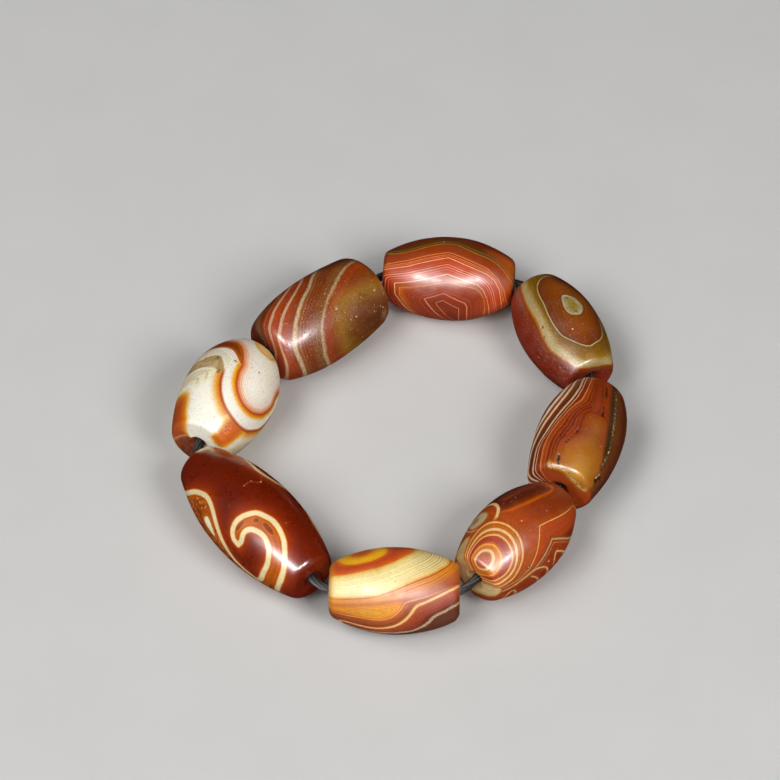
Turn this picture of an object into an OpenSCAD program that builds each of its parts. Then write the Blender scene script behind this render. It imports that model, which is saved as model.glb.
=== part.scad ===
// A bracelet of eight drilled agate beads on a loop of elastic cord, lying flat on a table.
// Millimetres, +Z up. The origin is on the table, under the middle of the bracelet.
// The string is followed clockwise as seen from above, from the hexagon bead on the far side.
// A bead is a barrel: two round arcs that meet at the belly, rounded rims, flat ends and a bore.
// Each pair of values for a bead gives the half that comes first on the string, then the other.

/* [Cord and bores] */
// Thickness of the elastic cord
cord_d = 1.6; // [1.2:0.1:1.8]
// Diameter of the bores
bore_d = 2.4; // [2.2:0.1:3]
// Diameter to which the bores' mouths are worn open
mouth_d = 3.6; // [3.2:0.1:4]
// Depth of the worn mouths
mouth_deep = 0.8; // [0.4:0.1:1.2]
// Heading of the first bead on the string, in degrees from +X
first_heading = -4.7; // [-10:0.1:10]

/* [Hexagon bead] */
// Lengths of its two halves
hexagon_halves = [12.6, 12]; // [10:0.1:14]
// Radius at the belly
hexagon_belly = 7.9; // [7.5:0.1:8.5]
// Radii to which the sides run down at the ends
hexagon_ends = [4.2, 4]; // [3.5:0.1:5.5]
// Roundings of the two rims
hexagon_rims = [1.5, 2]; // [1:0.1:2.5]
// Gap to the next bore, along the string
hexagon_gap = 4.2; // [4:0.1:6]
// Step to the next bore, away from the wrist
hexagon_slip = 0.4; // [-2:0.1:2]
// Turn of the string in the gap
hexagon_turn = 60.3; // [40:0.1:65]

/* [Eye bead] */
// Lengths of its two halves
eye_halves = [10.8, 12.7]; // [10:0.1:14]
// Radius at the belly
eye_belly = 7.6; // [7:0.1:8.5]
// Radii to which the sides run down at the ends
eye_ends = [4.9, 4.7]; // [3.5:0.1:5.5]
// Roundings of the two rims
eye_rims = [1.3, 1.1]; // [1:0.1:2.5]
// Gap to the next bore, along the string
eye_gap = 4.3; // [3.5:0.1:6]
// Step to the next bore, away from the wrist
eye_slip = 1; // [-2:0.1:2]
// Turn of the string in the gap
eye_turn = 44.4; // [30:0.1:50]

/* [Fine-line bead] */
// Lengths of its two halves
line_halves = [11.4, 12.2]; // [10:0.1:14]
// Radius at the belly
line_belly = 8; // [7.5:0.1:8.5]
// Radii to which the sides run down at the ends
line_ends = [4.9, 6]; // [3.5:0.1:6.5]
// Roundings of the two rims
line_rims = [1.7, 1.3]; // [1:0.1:2.5]
// Gap to the next bore, along the string
line_gap = 2.1; // [1.5:0.1:4]
// Step to the next bore, away from the wrist
line_slip = 1.2; // [-2:0.1:2]
// Turn of the string in the gap
line_turn = 20.6; // [15:0.1:30]

/* [Ring bead] */
// Lengths of its two halves
ring_halves = [12.1, 11.7]; // [10:0.1:14]
// Radius at the belly
ring_belly = 8.1; // [7.5:0.1:8.5]
// Radii to which the sides run down at the ends
ring_ends = [3.9, 5]; // [3.5:0.1:5.5]
// Roundings of the two rims
ring_rims = [1.5, 1.2]; // [1:0.1:2.5]
// Gap to the next bore, along the string
ring_gap = 3.7; // [3.5:0.1:5]
// Step to the next bore, away from the wrist
ring_slip = 1.3; // [-2:0.1:2]
// Turn of the string in the gap
ring_turn = 51.5; // [40:0.1:55]

/* [Cream bead] */
// Lengths of its two halves
cream_halves = [11.3, 11.8]; // [10:0.1:14]
// Radius at the belly
cream_belly = 7.8; // [7.5:0.1:8.5]
// Radii to which the sides run down at the ends
cream_ends = [4.8, 4.6]; // [3.5:0.1:5.5]
// Roundings of the two rims
cream_rims = [2, 2]; // [1:0.1:2.5]
// Gap to the next bore, along the string
cream_gap = 3.6; // [3.5:0.1:5]
// Step to the next bore, away from the wrist
cream_slip = -0.5; // [-2:0.1:2]
// Turn of the string in the gap
cream_turn = 50.1; // [40:0.1:55]

/* [Etched bead] */
// Lengths of its two halves
etched_halves = [16.6, 17.3]; // [15:0.1:19]
// Radius at the belly
etched_belly = 8.1; // [7.5:0.1:8.5]
// Radii to which the sides run down at the ends
etched_ends = [4.6, 4.1]; // [3.5:0.1:5.5]
// Roundings of the two rims
etched_rims = [1.8, 1.6]; // [1:0.1:2.5]
// Gap to the next bore, along the string
etched_gap = 4.2; // [4:0.1:6]
// Step to the next bore, away from the wrist
etched_slip = -0.5; // [-2:0.1:2]
// Turn of the string in the gap
etched_turn = 62.9; // [45:0.1:65]

/* [White bead] */
// Lengths of its two halves
white_halves = [13.2, 10.1]; // [10:0.1:14]
// Radius at the belly
white_belly = 8.6; // [8:0.1:9]
// Radii to which the sides run down at the ends
white_ends = [5.5, 4.4]; // [3.5:0.1:6]
// Roundings of the two rims
white_rims = [1, 1.9]; // [1:0.1:2.5]
// Gap to the next bore, along the string
white_gap = 2.1; // [1.8:0.1:4]
// Step to the next bore, away from the wrist
white_slip = -1.7; // [-2:0.1:2]
// Turn of the string in the gap
white_turn = 23.2; // [15:0.1:30]

/* [Striped bead] */
// Lengths of its two halves
striped_halves = [11.8, 13.3]; // [10:0.1:14]
// Radius at the belly
striped_belly = 8.3; // [8:0.1:9]
// Radii to which the sides run down at the ends
striped_ends = [5.9, 6.8]; // [5:0.1:7]
// Roundings of the two rims
striped_rims = [2.5, 3.3]; // [1.5:0.1:3.5]
// Gap to the next bore, along the string
striped_gap = 3.5; // [3:0.1:5]
// Step to the next bore, away from the wrist
striped_slip = 2.2; // [-2.5:0.1:2.5]
// Turn of the string in the gap
striped_turn = 47; // [35:0.1:50]

/* [Hidden] */

// Columns of the string's table
HALVES = 0;
BELLY = 1;
ENDS = 2;
RIMS = 3;
GAP = 4;
SLIP = 5;
TURN = 6;
// The beads in the string's order
STRING = [
    [hexagon_halves, hexagon_belly, hexagon_ends, hexagon_rims, hexagon_gap, hexagon_slip, hexagon_turn],
    [eye_halves, eye_belly, eye_ends, eye_rims, eye_gap, eye_slip, eye_turn],
    [line_halves, line_belly, line_ends, line_rims, line_gap, line_slip, line_turn],
    [ring_halves, ring_belly, ring_ends, ring_rims, ring_gap, ring_slip, ring_turn],
    [cream_halves, cream_belly, cream_ends, cream_rims, cream_gap, cream_slip, cream_turn],
    [etched_halves, etched_belly, etched_ends, etched_rims, etched_gap, etched_slip, etched_turn],
    [white_halves, white_belly, white_ends, white_rims, white_gap, white_slip, white_turn],
    [striped_halves, striped_belly, striped_ends, striped_rims, striped_gap, striped_slip, striped_turn]
];
COUNT = len(STRING);
LAST = COUNT - 1;
FIRST_HALF = 0;
SECOND_HALF = 1;

// The halves of a bead: the radius of the side's arc, and how far that arc runs before the rim
function side(b, half) =
    (pow(b[HALVES][half], 2) + pow(b[BELLY] - b[ENDS][half], 2)) / (2 * (b[BELLY] - b[ENDS][half]));
function lean(b, half) = asin((b[HALVES][half] - b[RIMS][half]) / (side(b, half) - b[RIMS][half]));
// Radius at which the centre of the rim's rounding stands off the bore's axis
function rim_stand(b, half) =
    b[BELLY] - side(b, half) + (side(b, half) - b[RIMS][half]) * cos(lean(b, half));

// Headings in the level plane, and the way to their left, which is away from the wrist
function ahead(angle) = [cos(angle), sin(angle)];
function aside(angle) = [-sin(angle), cos(angle)];

// The turns are scaled to make one whole round
function turned(i) = i == 0 ? 0 : turned(i - 1) + STRING[i - 1][TURN];
turn_scale = 360 / turned(COUNT);
function heading(i) = first_heading - turn_scale * turned(i);

// The string is walked bead by bead, and what is left open at the end is shared out among the beads
function walk(b, from, to) =
    (b[HALVES][FIRST_HALF] + b[HALVES][SECOND_HALF]) * ahead(from)
    + b[GAP] * ahead((from + to) / 2)
    + b[SLIP] * aside((from + to) / 2);
function start(i) = i == 0 ? [0, 0] : start(i - 1) + walk(STRING[i - 1], heading(i - 1), heading(i));
left_open = start(COUNT);
function belly_spot(i) =
    start(i) + STRING[i][HALVES][FIRST_HALF] * ahead(heading(i)) - left_open * i / COUNT;

// How far bead i reaches from its belly's centre in a level direction
function reach(i, direction) =
    let (off = direction - heading(i))
    let (half = cos(off) < 0 ? FIRST_HALF : SECOND_HALF)
    let (b = STRING[i], along = abs(cos(off)), across = abs(sin(off)))
    asin(along) <= lean(b, half)
        ? (b[BELLY] - side(b, half)) * across + side(b, half)
        : (b[HALVES][half] - b[RIMS][half]) * along + rim_stand(b, half) * across + b[RIMS][half];
right_edge = max([for (i = [0:LAST]) belly_spot(i)[0] + reach(i, 0)]);
far_edge = max([for (i = [0:LAST]) belly_spot(i)[1] + reach(i, 90)]);
left_edge = min([for (i = [0:LAST]) belly_spot(i)[0] - reach(i, 180)]);
near_edge = min([for (i = [0:LAST]) belly_spot(i)[1] - reach(i, 270)]);
middle = [(left_edge + right_edge) / 2, (near_edge + far_edge) / 2];

// Centre of the belly of bead i, which rests on the table, and points along its bore
function centre(i) = concat(belly_spot(i) - middle, STRING[i][BELLY]);
function along_bore(i, t) = centre(i) + t * concat(ahead(heading(i)), 0);
function mouth(i, half, inset) =
    along_bore(i, (half == FIRST_HALF ? -1 : 1) * (STRING[i][HALVES][half] - inset));

// The cord is straight in the bores and bends between points just inside their mouths
bend_inset = 1.3;
bore_rings = 4;
bend_rings = 5;
cord_sides = 8;
// A bend's handles, as a share of the distance that it spans
handle = 0.36;
function blend(p, q, t) = p + (q - p) * t;
function bezier(p, t) =
    len(p) == 1 ? p[0] : bezier([for (k = [0:len(p) - 2]) blend(p[k], p[k + 1], t)], t);
function bend(i) =
    let (next = (i + 1) % COUNT)
    let (from = mouth(i, SECOND_HALF, bend_inset), to = mouth(next, FIRST_HALF, bend_inset))
    let (grip = handle * norm(to - from))
    [from, mouth(i, SECOND_HALF, bend_inset - grip), mouth(next, FIRST_HALF, bend_inset - grip), to];
function straight(i) = [mouth(i, FIRST_HALF, bend_inset), mouth(i, SECOND_HALF, bend_inset)];
route = [
    for (i = [0:LAST])
        each concat(
            [for (k = [0:bore_rings - 1]) blend(straight(i)[0], straight(i)[1], k / (bore_rings - 1))],
            [for (k = [1:bend_rings]) bezier(bend(i), k / (bend_rings + 1))]
        )
];
rings = len(route);

// A ring of points round the route, square to it
function tangent(k) =
    let (chord = route[(k + 1) % rings] - route[(k + rings - 1) % rings])
    chord / norm(chord);
function ring(k) =
    let (level = cross([0, 0, 1], tangent(k)))
    let (across = level / norm(level))
    let (above = cross(tangent(k), across))
    [for (s = [0:cord_sides - 1])
        route[k] + cord_d / 2 * (cos(s * 360 / cord_sides) * across + sin(s * 360 / cord_sides) * above)];
function corner(k, s) = (k % rings) * cord_sides + s % cord_sides;

// Half of a bead's outline: the radius is x, and y runs from the belly to the flat end
module half_outline(b, half) {
    intersection() {
        translate([b[BELLY] - side(b, half), 0]) circle(side(b, half), $fn = 360);
        square([b[BELLY], side(b, half) * sin(lean(b, half))]);
    }
    square([rim_stand(b, half), b[HALVES][half]]);
    translate([rim_stand(b, half), b[HALVES][half] - b[RIMS][half]]) circle(b[RIMS][half], $fn = 60);
}

// A drilled barrel, with its bore along +Z and its belly at the origin
module barrel(b) {
    difference() {
        rotate_extrude($fn = 90) {
            half_outline(b, SECOND_HALF);
            mirror([0, 1]) half_outline(b, FIRST_HALF);
        }
        half_bore(b, SECOND_HALF);
        mirror([0, 0, 1]) half_bore(b, FIRST_HALF);
    }
}

// Half of a bore, from just past the belly out through the mouth, which is worn to a cone
module half_bore(b, half) {
    past = 1;
    widening = (mouth_d - bore_d) / mouth_deep;
    translate([0, 0, -past]) cylinder(h = b[HALVES][half] + 2 * past, d = bore_d, $fn = 48);
    translate([0, 0, b[HALVES][half] - mouth_deep])
        cylinder(h = mouth_deep + past, d1 = bore_d, d2 = mouth_d + past * widening, $fn = 48);
}

// Bead i in its place on the table
module placed_bead(i) {
    translate(centre(i)) rotate([0, 0, heading(i)]) rotate([0, 90, 0]) barrel(STRING[i]);
}

module hexagon_bead() {
    color("chocolate") placed_bead(0);
}

module eye_bead() {
    color("sienna") placed_bead(1);
}

module line_bead() {
    color("peru") placed_bead(2);
}

module ring_bead() {
    color("sandybrown") placed_bead(3);
}

module cream_bead() {
    color("khaki") placed_bead(4);
}

module etched_bead() {
    color("maroon") placed_bead(5);
}

module white_bead() {
    color("ivory") placed_bead(6);
}

module striped_bead() {
    color("saddlebrown") placed_bead(7);
}

module elastic_cord() {
    color("dimgray")
        polyhedron(
            points = [for (k = [0:rings - 1]) each ring(k)],
            faces = [
                for (k = [0:rings - 1], s = [0:cord_sides - 1])
                    [corner(k, s), corner(k + 1, s), corner(k + 1, s + 1), corner(k, s + 1)]
            ],
            convexity = 4
        );
}

hexagon_bead();
eye_bead();
line_bead();
ring_bead();
cream_bead();
etched_bead();
white_bead();
striped_bead();
elastic_cord();
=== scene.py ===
# %% [markdown]
# # A bracelet of eight agate beads
# The bracelet lies flat on a table: eight hand-ground barrels of banded agate on one loop of dark
# elastic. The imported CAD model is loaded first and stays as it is. It says where each bead lies, how its
# bore runs and how large everything may be. What this lesson adds is the stone: its slightly uneven
# grinding, its bands and etched lines, its polish, and the many strands of the elastic.

import math

import bmesh
import bpy
import numpy as np
from mathutils import Matrix, Vector, noise
from mathutils.geometry import interpolate_bezier


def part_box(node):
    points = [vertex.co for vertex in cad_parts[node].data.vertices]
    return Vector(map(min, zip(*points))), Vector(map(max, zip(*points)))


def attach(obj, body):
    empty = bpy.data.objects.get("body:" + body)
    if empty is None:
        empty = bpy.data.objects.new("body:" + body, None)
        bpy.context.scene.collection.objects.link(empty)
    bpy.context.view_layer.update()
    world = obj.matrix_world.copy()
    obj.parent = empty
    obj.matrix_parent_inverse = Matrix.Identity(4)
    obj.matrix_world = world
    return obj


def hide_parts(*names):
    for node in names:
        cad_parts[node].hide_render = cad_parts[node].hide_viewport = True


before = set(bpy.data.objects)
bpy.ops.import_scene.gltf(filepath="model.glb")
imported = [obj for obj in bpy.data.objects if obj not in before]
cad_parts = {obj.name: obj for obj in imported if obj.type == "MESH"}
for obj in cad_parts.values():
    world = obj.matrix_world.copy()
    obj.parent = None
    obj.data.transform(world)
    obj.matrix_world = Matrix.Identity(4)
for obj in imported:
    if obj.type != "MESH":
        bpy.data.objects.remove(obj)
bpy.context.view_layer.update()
MM = 0.001

# %% [markdown]
# ## Camera
# The beads' outlines in the photo fix the camera. It looks along +Y, down at the table by about 50
# degrees, from 0.8 m away. A long lens keeps the near and the far beads almost at one scale. The point
# that it aims at is named in millimetres, and its focal length in pixels of a picture 780 pixels wide, so
# the lens follows.

# %% Camera
PICTURE_WIDTH = 780
FOCAL_PIXELS = 4301
AIM = Vector((-1.76, 16.22, 0)) * MM
CAMERA_HEIGHT_ANGLE = math.radians(49.5)
CAMERA_DISTANCE = 0.8


def towards(turn, height_angle):
    """The direction from the table to a place that is turned clockwise from the viewer's side."""
    level = math.cos(height_angle)
    return Vector((-math.sin(turn) * level, -math.cos(turn) * level, math.sin(height_angle)))


def look_at(thing, place, target):
    """Puts a camera or lamp at a place and points it at a target."""
    thing.location = place
    thing.rotation_mode = "QUATERNION"
    thing.rotation_quaternion = (target - place).to_track_quat("-Z", "Y")


camera_data = bpy.data.cameras.new("camera")
camera_data.sensor_width = 36
camera_data.lens = camera_data.sensor_width * FOCAL_PIXELS / PICTURE_WIDTH
camera_data.clip_start = 0.05
camera_data.clip_end = 10
camera = bpy.data.objects.new("camera", camera_data)
bpy.context.scene.collection.objects.link(camera)
look_at(camera, AIM + CAMERA_DISTANCE * towards(0, CAMERA_HEIGHT_ANGLE), AIM)
bpy.context.scene.camera = camera
print("lens in mm:", round(camera_data.lens, 1))

# %% [markdown]
# ## Table and light
# Polished stone shows its lamps. Four small ones stand in a bow on both sides of the camera, about 40
# degrees above the table, and draw a row of pale streaks along each barrel where its side faces the
# viewer. They are seen in reflections alone, as sparkle lights often are in a studio. Three wide ones,
# which leave no reflection, light the stone and the table softly. Neither the dim sky nor the pale table
# is mirrored by the stone, because its grazing sides would turn milky. The view transform is the plain
# one, because the filmic one would grey the deep orange.

# %% Table and light
scene = bpy.context.scene
scene.view_settings.view_transform = "Standard"


def lamp(name, turn, height_angle, distance, size, power):
    """A square area lamp that points at the middle of the bracelet."""
    data = bpy.data.lights.new(name, "AREA")
    data.shape = "RECTANGLE"
    data.size, data.size_y = size
    data.energy = power
    thing = bpy.data.objects.new(name, data)
    scene.collection.objects.link(thing)
    look_at(thing, distance * towards(math.radians(turn), math.radians(height_angle)), Vector((0, 0, 0)))
    return thing


# Each lamp's turn and height angle in degrees, and a key lamp's power
BOW_LAMPS = ((46, 40), (26, 42), (-8, 42), (-36, 43))
BOW_DISTANCE = 1.1
BOW_LAMP_SIZE = (0.22, 0.13)
BOW_LAMP_POWER = 13
KEY_LAMPS = (("left_key_lamp", 38, 48, 6), ("right_key_lamp", -40, 42, 8), ("side_lamp", 80, 60, 3))
KEY_DISTANCE = 1.2
KEY_LAMP_SIZE = (0.5, 0.5)
SKY_STRENGTH = 0.06

for number, (turn, height_angle) in enumerate(BOW_LAMPS, 1):
    bow_lamp = lamp(f"bow_lamp_{number}", turn, height_angle, BOW_DISTANCE, BOW_LAMP_SIZE, BOW_LAMP_POWER)
    bow_lamp.visible_diffuse = False
for name, turn, height_angle, power in KEY_LAMPS:
    key_lamp = lamp(name, turn, height_angle, KEY_DISTANCE, KEY_LAMP_SIZE, power)
    key_lamp.visible_glossy = False

world = bpy.data.worlds.new("sky")
world.use_nodes = True
world.node_tree.nodes["Background"].inputs["Color"].default_value = (1, 1, 1, 1)
world.node_tree.nodes["Background"].inputs["Strength"].default_value = SKY_STRENGTH
world.cycles_visibility.glossy = False
scene.world = world

# %% [markdown]
# ## Colours and material helpers
# A colour is written as on the web: # and two hexadecimal digits each for the red, green and blue of a
# screen. One helper turns it into the linear values that shaders use. A material is a tree of nodes, so
# another adds a node and joins it to others, and a third starts a material.

# %% Material helpers


def tint(colour):
    """A web colour, such as #b85218, as the linear colour that a shader reads."""
    shares = [int(colour[start:start + 2], 16) / 255 for start in (1, 3, 5)]
    linear = [share / 12.92 if share <= 0.04045 else ((share + 0.055) / 1.055) ** 2.4 for share in shares]
    return (*linear, 1)


def add_node(tree, kind, settings=None, **sockets):
    """Adds a shader node. Its sockets, named with _ for a space or as i0, take a value or an output."""
    node = tree.nodes.new("ShaderNode" + kind)
    for name, value in (settings or {}).items():
        setattr(node, name, value)
    for name, value in sockets.items():
        numbered = name[0] == "i" and name[1:].isdigit()
        socket = node.inputs[int(name[1:]) if numbered else name.replace("_", " ")]
        if isinstance(value, bpy.types.NodeSocket):
            tree.links.new(value, socket)
        else:
            socket.default_value = value
    return node


def plain_material(name):
    """A new material with a Principled shader, and its tree."""
    material = bpy.data.materials.new(name)
    material.use_nodes = True
    return material, material.node_tree, material.node_tree.nodes["Principled BSDF"]


# %% Table top
TABLE_GRAIN_SCALE = 60
TABLE_HALF_SIDE = 3

table_material, tree, shader = plain_material("pale_table")
spot = add_node(tree, "TexCoord").outputs["Object"]
grain = add_node(tree, "TexNoise", Vector=spot, Scale=TABLE_GRAIN_SCALE, Detail=4)
tone = add_node(tree, "ValToRGB", Fac=grain.outputs["Fac"])
tone.color_ramp.elements[0].color = tint("#d0cfcd")
tone.color_ramp.elements[1].color = tint("#d7d6d4")
tree.links.new(tone.outputs["Color"], shader.inputs["Base Color"])
shader.inputs["Roughness"].default_value = 0.6
shader.inputs["Specular IOR Level"].default_value = 0

bm = bmesh.new()
bmesh.ops.create_grid(bm, x_segments=1, y_segments=1, size=TABLE_HALF_SIDE)
table_mesh = bpy.data.meshes.new("table_top")
bm.to_mesh(table_mesh)
bm.free()
table = bpy.data.objects.new("table_top", table_mesh)
table_mesh.materials.append(table_material)
table.visible_glossy = False
scene.collection.objects.link(table)

# %% [markdown]
# ## A turned barrel
# A bead like this is ground by hand until it rolls: two round arcs that meet at the belly, worn rims,
# flat ends and a bore whose mouths the cord has worn open. A lathe makes the same form, so the outline is
# drawn with partial spins of one vertex (its arcs) and extrusions (its straight stretches), and a full
# spin turns it into a drilled barrel. Spinning keeps rings of small faces all round, which later carry
# the pattern. The CAD nodes give each bead's place: the two flat ends are the largest faces that share a
# normal, and the line between their middles is the bore.

# %% Sizes of the beads
# Each pair is the half on the viewer's left, then the one on the right, in mm, as in the part's source
HALVES, ENDS, RIMS = 0, 1, 2
BEAD_SIZES = {
    "hexagon_bead": ((12.6, 12.0), (4.2, 4.0), (1.5, 2.0)),
    "eye_bead": ((10.8, 12.7), (4.9, 4.7), (1.3, 1.1)),
    "line_bead": ((12.2, 11.4), (6.0, 4.9), (1.3, 1.7)),
    "ring_bead": ((11.7, 12.1), (5.0, 3.9), (1.2, 1.5)),
    "cream_bead": ((11.8, 11.3), (4.6, 4.8), (2.0, 2.0)),
    "etched_bead": ((17.3, 16.6), (4.1, 4.6), (1.6, 1.8)),
    "white_bead": ((13.2, 10.1), (5.5, 4.4), (1.0, 1.9)),
    "striped_bead": ((11.8, 13.3), (5.9, 6.8), (2.5, 3.3)),
}
BORE_RADIUS = 1.2
MOUTH_RADIUS = 1.8
MOUTH_DEPTH = 0.8
MOUTH_PARTS = 4
BORE_PARTS = 5


def flat_ends(node):
    """Middles of a CAD bead's two flat ends, the viewer's left one first."""
    faces = {}
    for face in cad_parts[node].data.polygons:
        key = tuple(round(part, 2) for part in face.normal)
        area, moment = faces.get(key, (0.0, Vector()))
        faces[key] = (area + face.area, moment + face.area * face.center)
    largest = sorted(faces.values(), key=lambda entry: entry[0])[-2:]
    return sorted((moment / area for area, moment in largest), key=lambda middle: middle.x)


def bead_place(node):
    """The matrix that puts a bead's belly in place, with local X along the bore to the right and Z up."""
    left, right = flat_ends(node)
    along = (right - left).normalized()
    up = Vector((0, 0, 1))
    belly = left + BEAD_SIZES[node][HALVES][0] * MM * along
    place = Matrix((along, up.cross(along), up)).transposed().to_4x4()
    place.translation = belly
    return place


for node in BEAD_SIZES:
    left, right = flat_ends(node)
    print(node, "from", [round(c / MM, 2) for c in left], "to", [round(c / MM, 2) for c in right])

# %% Turning a barrel
RING_STEP = 0.19
WEDGES = 16
WEDGE_STEPS = 15


def arc(bm, vertex, centre, angle, radius):
    """Spins a vertex about a point of the outline's plane and returns the arc's last vertex."""
    steps = max(3, round(abs(angle) * radius / RING_STEP))
    spun = bmesh.ops.spin(bm, geom=[vertex], cent=(centre[0] * MM, 0, centre[1] * MM), axis=(0, 1, 0),
                          angle=angle, steps=steps, use_merge=False)
    return next(part for part in spun["geom_last"] if isinstance(part, bmesh.types.BMVert))


def stretch(bm, vertex, spot, parts):
    """Draws a straight line of the outline to a spot in some equal parts, and returns its last vertex."""
    start = vertex.co.copy()
    end = Vector((spot[0] * MM, 0, spot[1] * MM))
    for part in range(1, parts + 1):
        vertex = bmesh.ops.extrude_vert_indiv(bm, verts=[vertex])["verts"][0]
        vertex.co = start.lerp(end, part / parts)
    return vertex


def half_outline(bm, belly, half, belly_radius, sizes):
    """Draws half of a barrel's outline from the belly over the rim and the end, and back along the bore."""
    length, end, rim = (sizes[column][half] for column in (HALVES, ENDS, RIMS))
    way = (-1, 1)[half]
    side = (length ** 2 + (belly_radius - end) ** 2) / (2 * (belly_radius - end))
    lean = math.asin((length - rim) / (side - rim))
    stand = belly_radius - side + (side - rim) * math.cos(lean)
    last = arc(bm, belly, (0, belly_radius - side), way * lean, side)
    last = arc(bm, last, (way * (length - rim), stand), way * (math.pi / 2 - lean), rim)
    last = stretch(bm, last, (way * length, MOUTH_RADIUS), round((stand - MOUTH_RADIUS) / RING_STEP) + 1)
    last = stretch(bm, last, (way * (length - MOUTH_DEPTH), BORE_RADIUS), MOUTH_PARTS)
    stretch(bm, last, (0, BORE_RADIUS), BORE_PARTS)


def turned_barrel(node):
    """A bmesh of a bead in its own frame: the bore along X, the belly's middle at the origin."""
    low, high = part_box(node)
    belly_radius = (high.z - low.z) / 2 / MM
    bm = bmesh.new()
    belly = bm.verts.new((0, 0, belly_radius * MM))
    for half in (0, 1):
        half_outline(bm, belly, half, belly_radius, BEAD_SIZES[node])
    wedge = math.tau / WEDGES
    bmesh.ops.spin(bm, geom=bm.verts[:] + bm.edges[:], cent=(0, 0, 0), axis=(1, 0, 0), angle=wedge,
                   steps=WEDGE_STEPS, use_merge=False)
    bmesh.ops.spin(bm, geom=bm.verts[:] + bm.edges[:] + bm.faces[:], cent=(0, 0, 0), axis=(1, 0, 0),
                   angle=math.tau - wedge, steps=WEDGES - 1, use_duplicate=True)
    bmesh.ops.remove_doubles(bm, verts=bm.verts, dist=1e-6)
    bmesh.ops.recalc_face_normals(bm, faces=bm.faces)
    return bm, belly_radius


# %% [markdown]
# ## A map of the bead's skin
# Agate bands and etched lines follow the surface, so each bead gets a map: s counts millimetres along the
# bore, to the viewer's right, and g counts millimetres round the belly, from the top towards the viewer.
# A pattern is a few lines drawn on that map. For every vertex the script measures how far it is
# from a line, or between which two nested lines it lies, and keeps the answer as an attribute of the
# mesh. The shader turns those smooth numbers into colour, so a line stays crisp however close the camera
# comes. An outline that runs off a bead is closed out of sight, past its end or round its hidden side.

# %% The map
PIT_REACH = 0.14
PIT_DEPTH = 0.55
GRIND_SIZE = 5.5
GRIND_DEPTH = 0.13
GRIND_FADE = 2
FARTHEST_SPOT = 9.0
# A border is closed on the hidden side, at this share of the turn, by a line that sways a little
BACK = 0.6
LAYERED_BACKS = (0.46, 0.62)
BACK_SWAYS = ((1.0, 0.6), (0.55, -1.2), (0.1, 0.9), (-0.4, -1.0), (-1.0, 0.4))


def smooth(points, closed=False, parts=6):
    """A smooth line through given points of the map."""
    points = np.asarray(points, float)
    if closed:
        around = np.vstack([points[-1:], points, points[:2]])
    else:
        around = np.vstack([2 * points[:1] - points[1:2], points, 2 * points[-1:] - points[-2:-1]])
    drawn = []
    for before, here, there, after in zip(around, around[1:], around[2:], around[3:]):
        for share in np.arange(parts) / parts:
            drawn.append(0.5 * (2 * here + (there - before) * share
                                + (2 * before - 5 * here + 4 * there - after) * share ** 2
                                + (3 * here - before - 3 * there + after) * share ** 3))
    if not closed:
        drawn.append(points[-1])
    return np.array(drawn)


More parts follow.
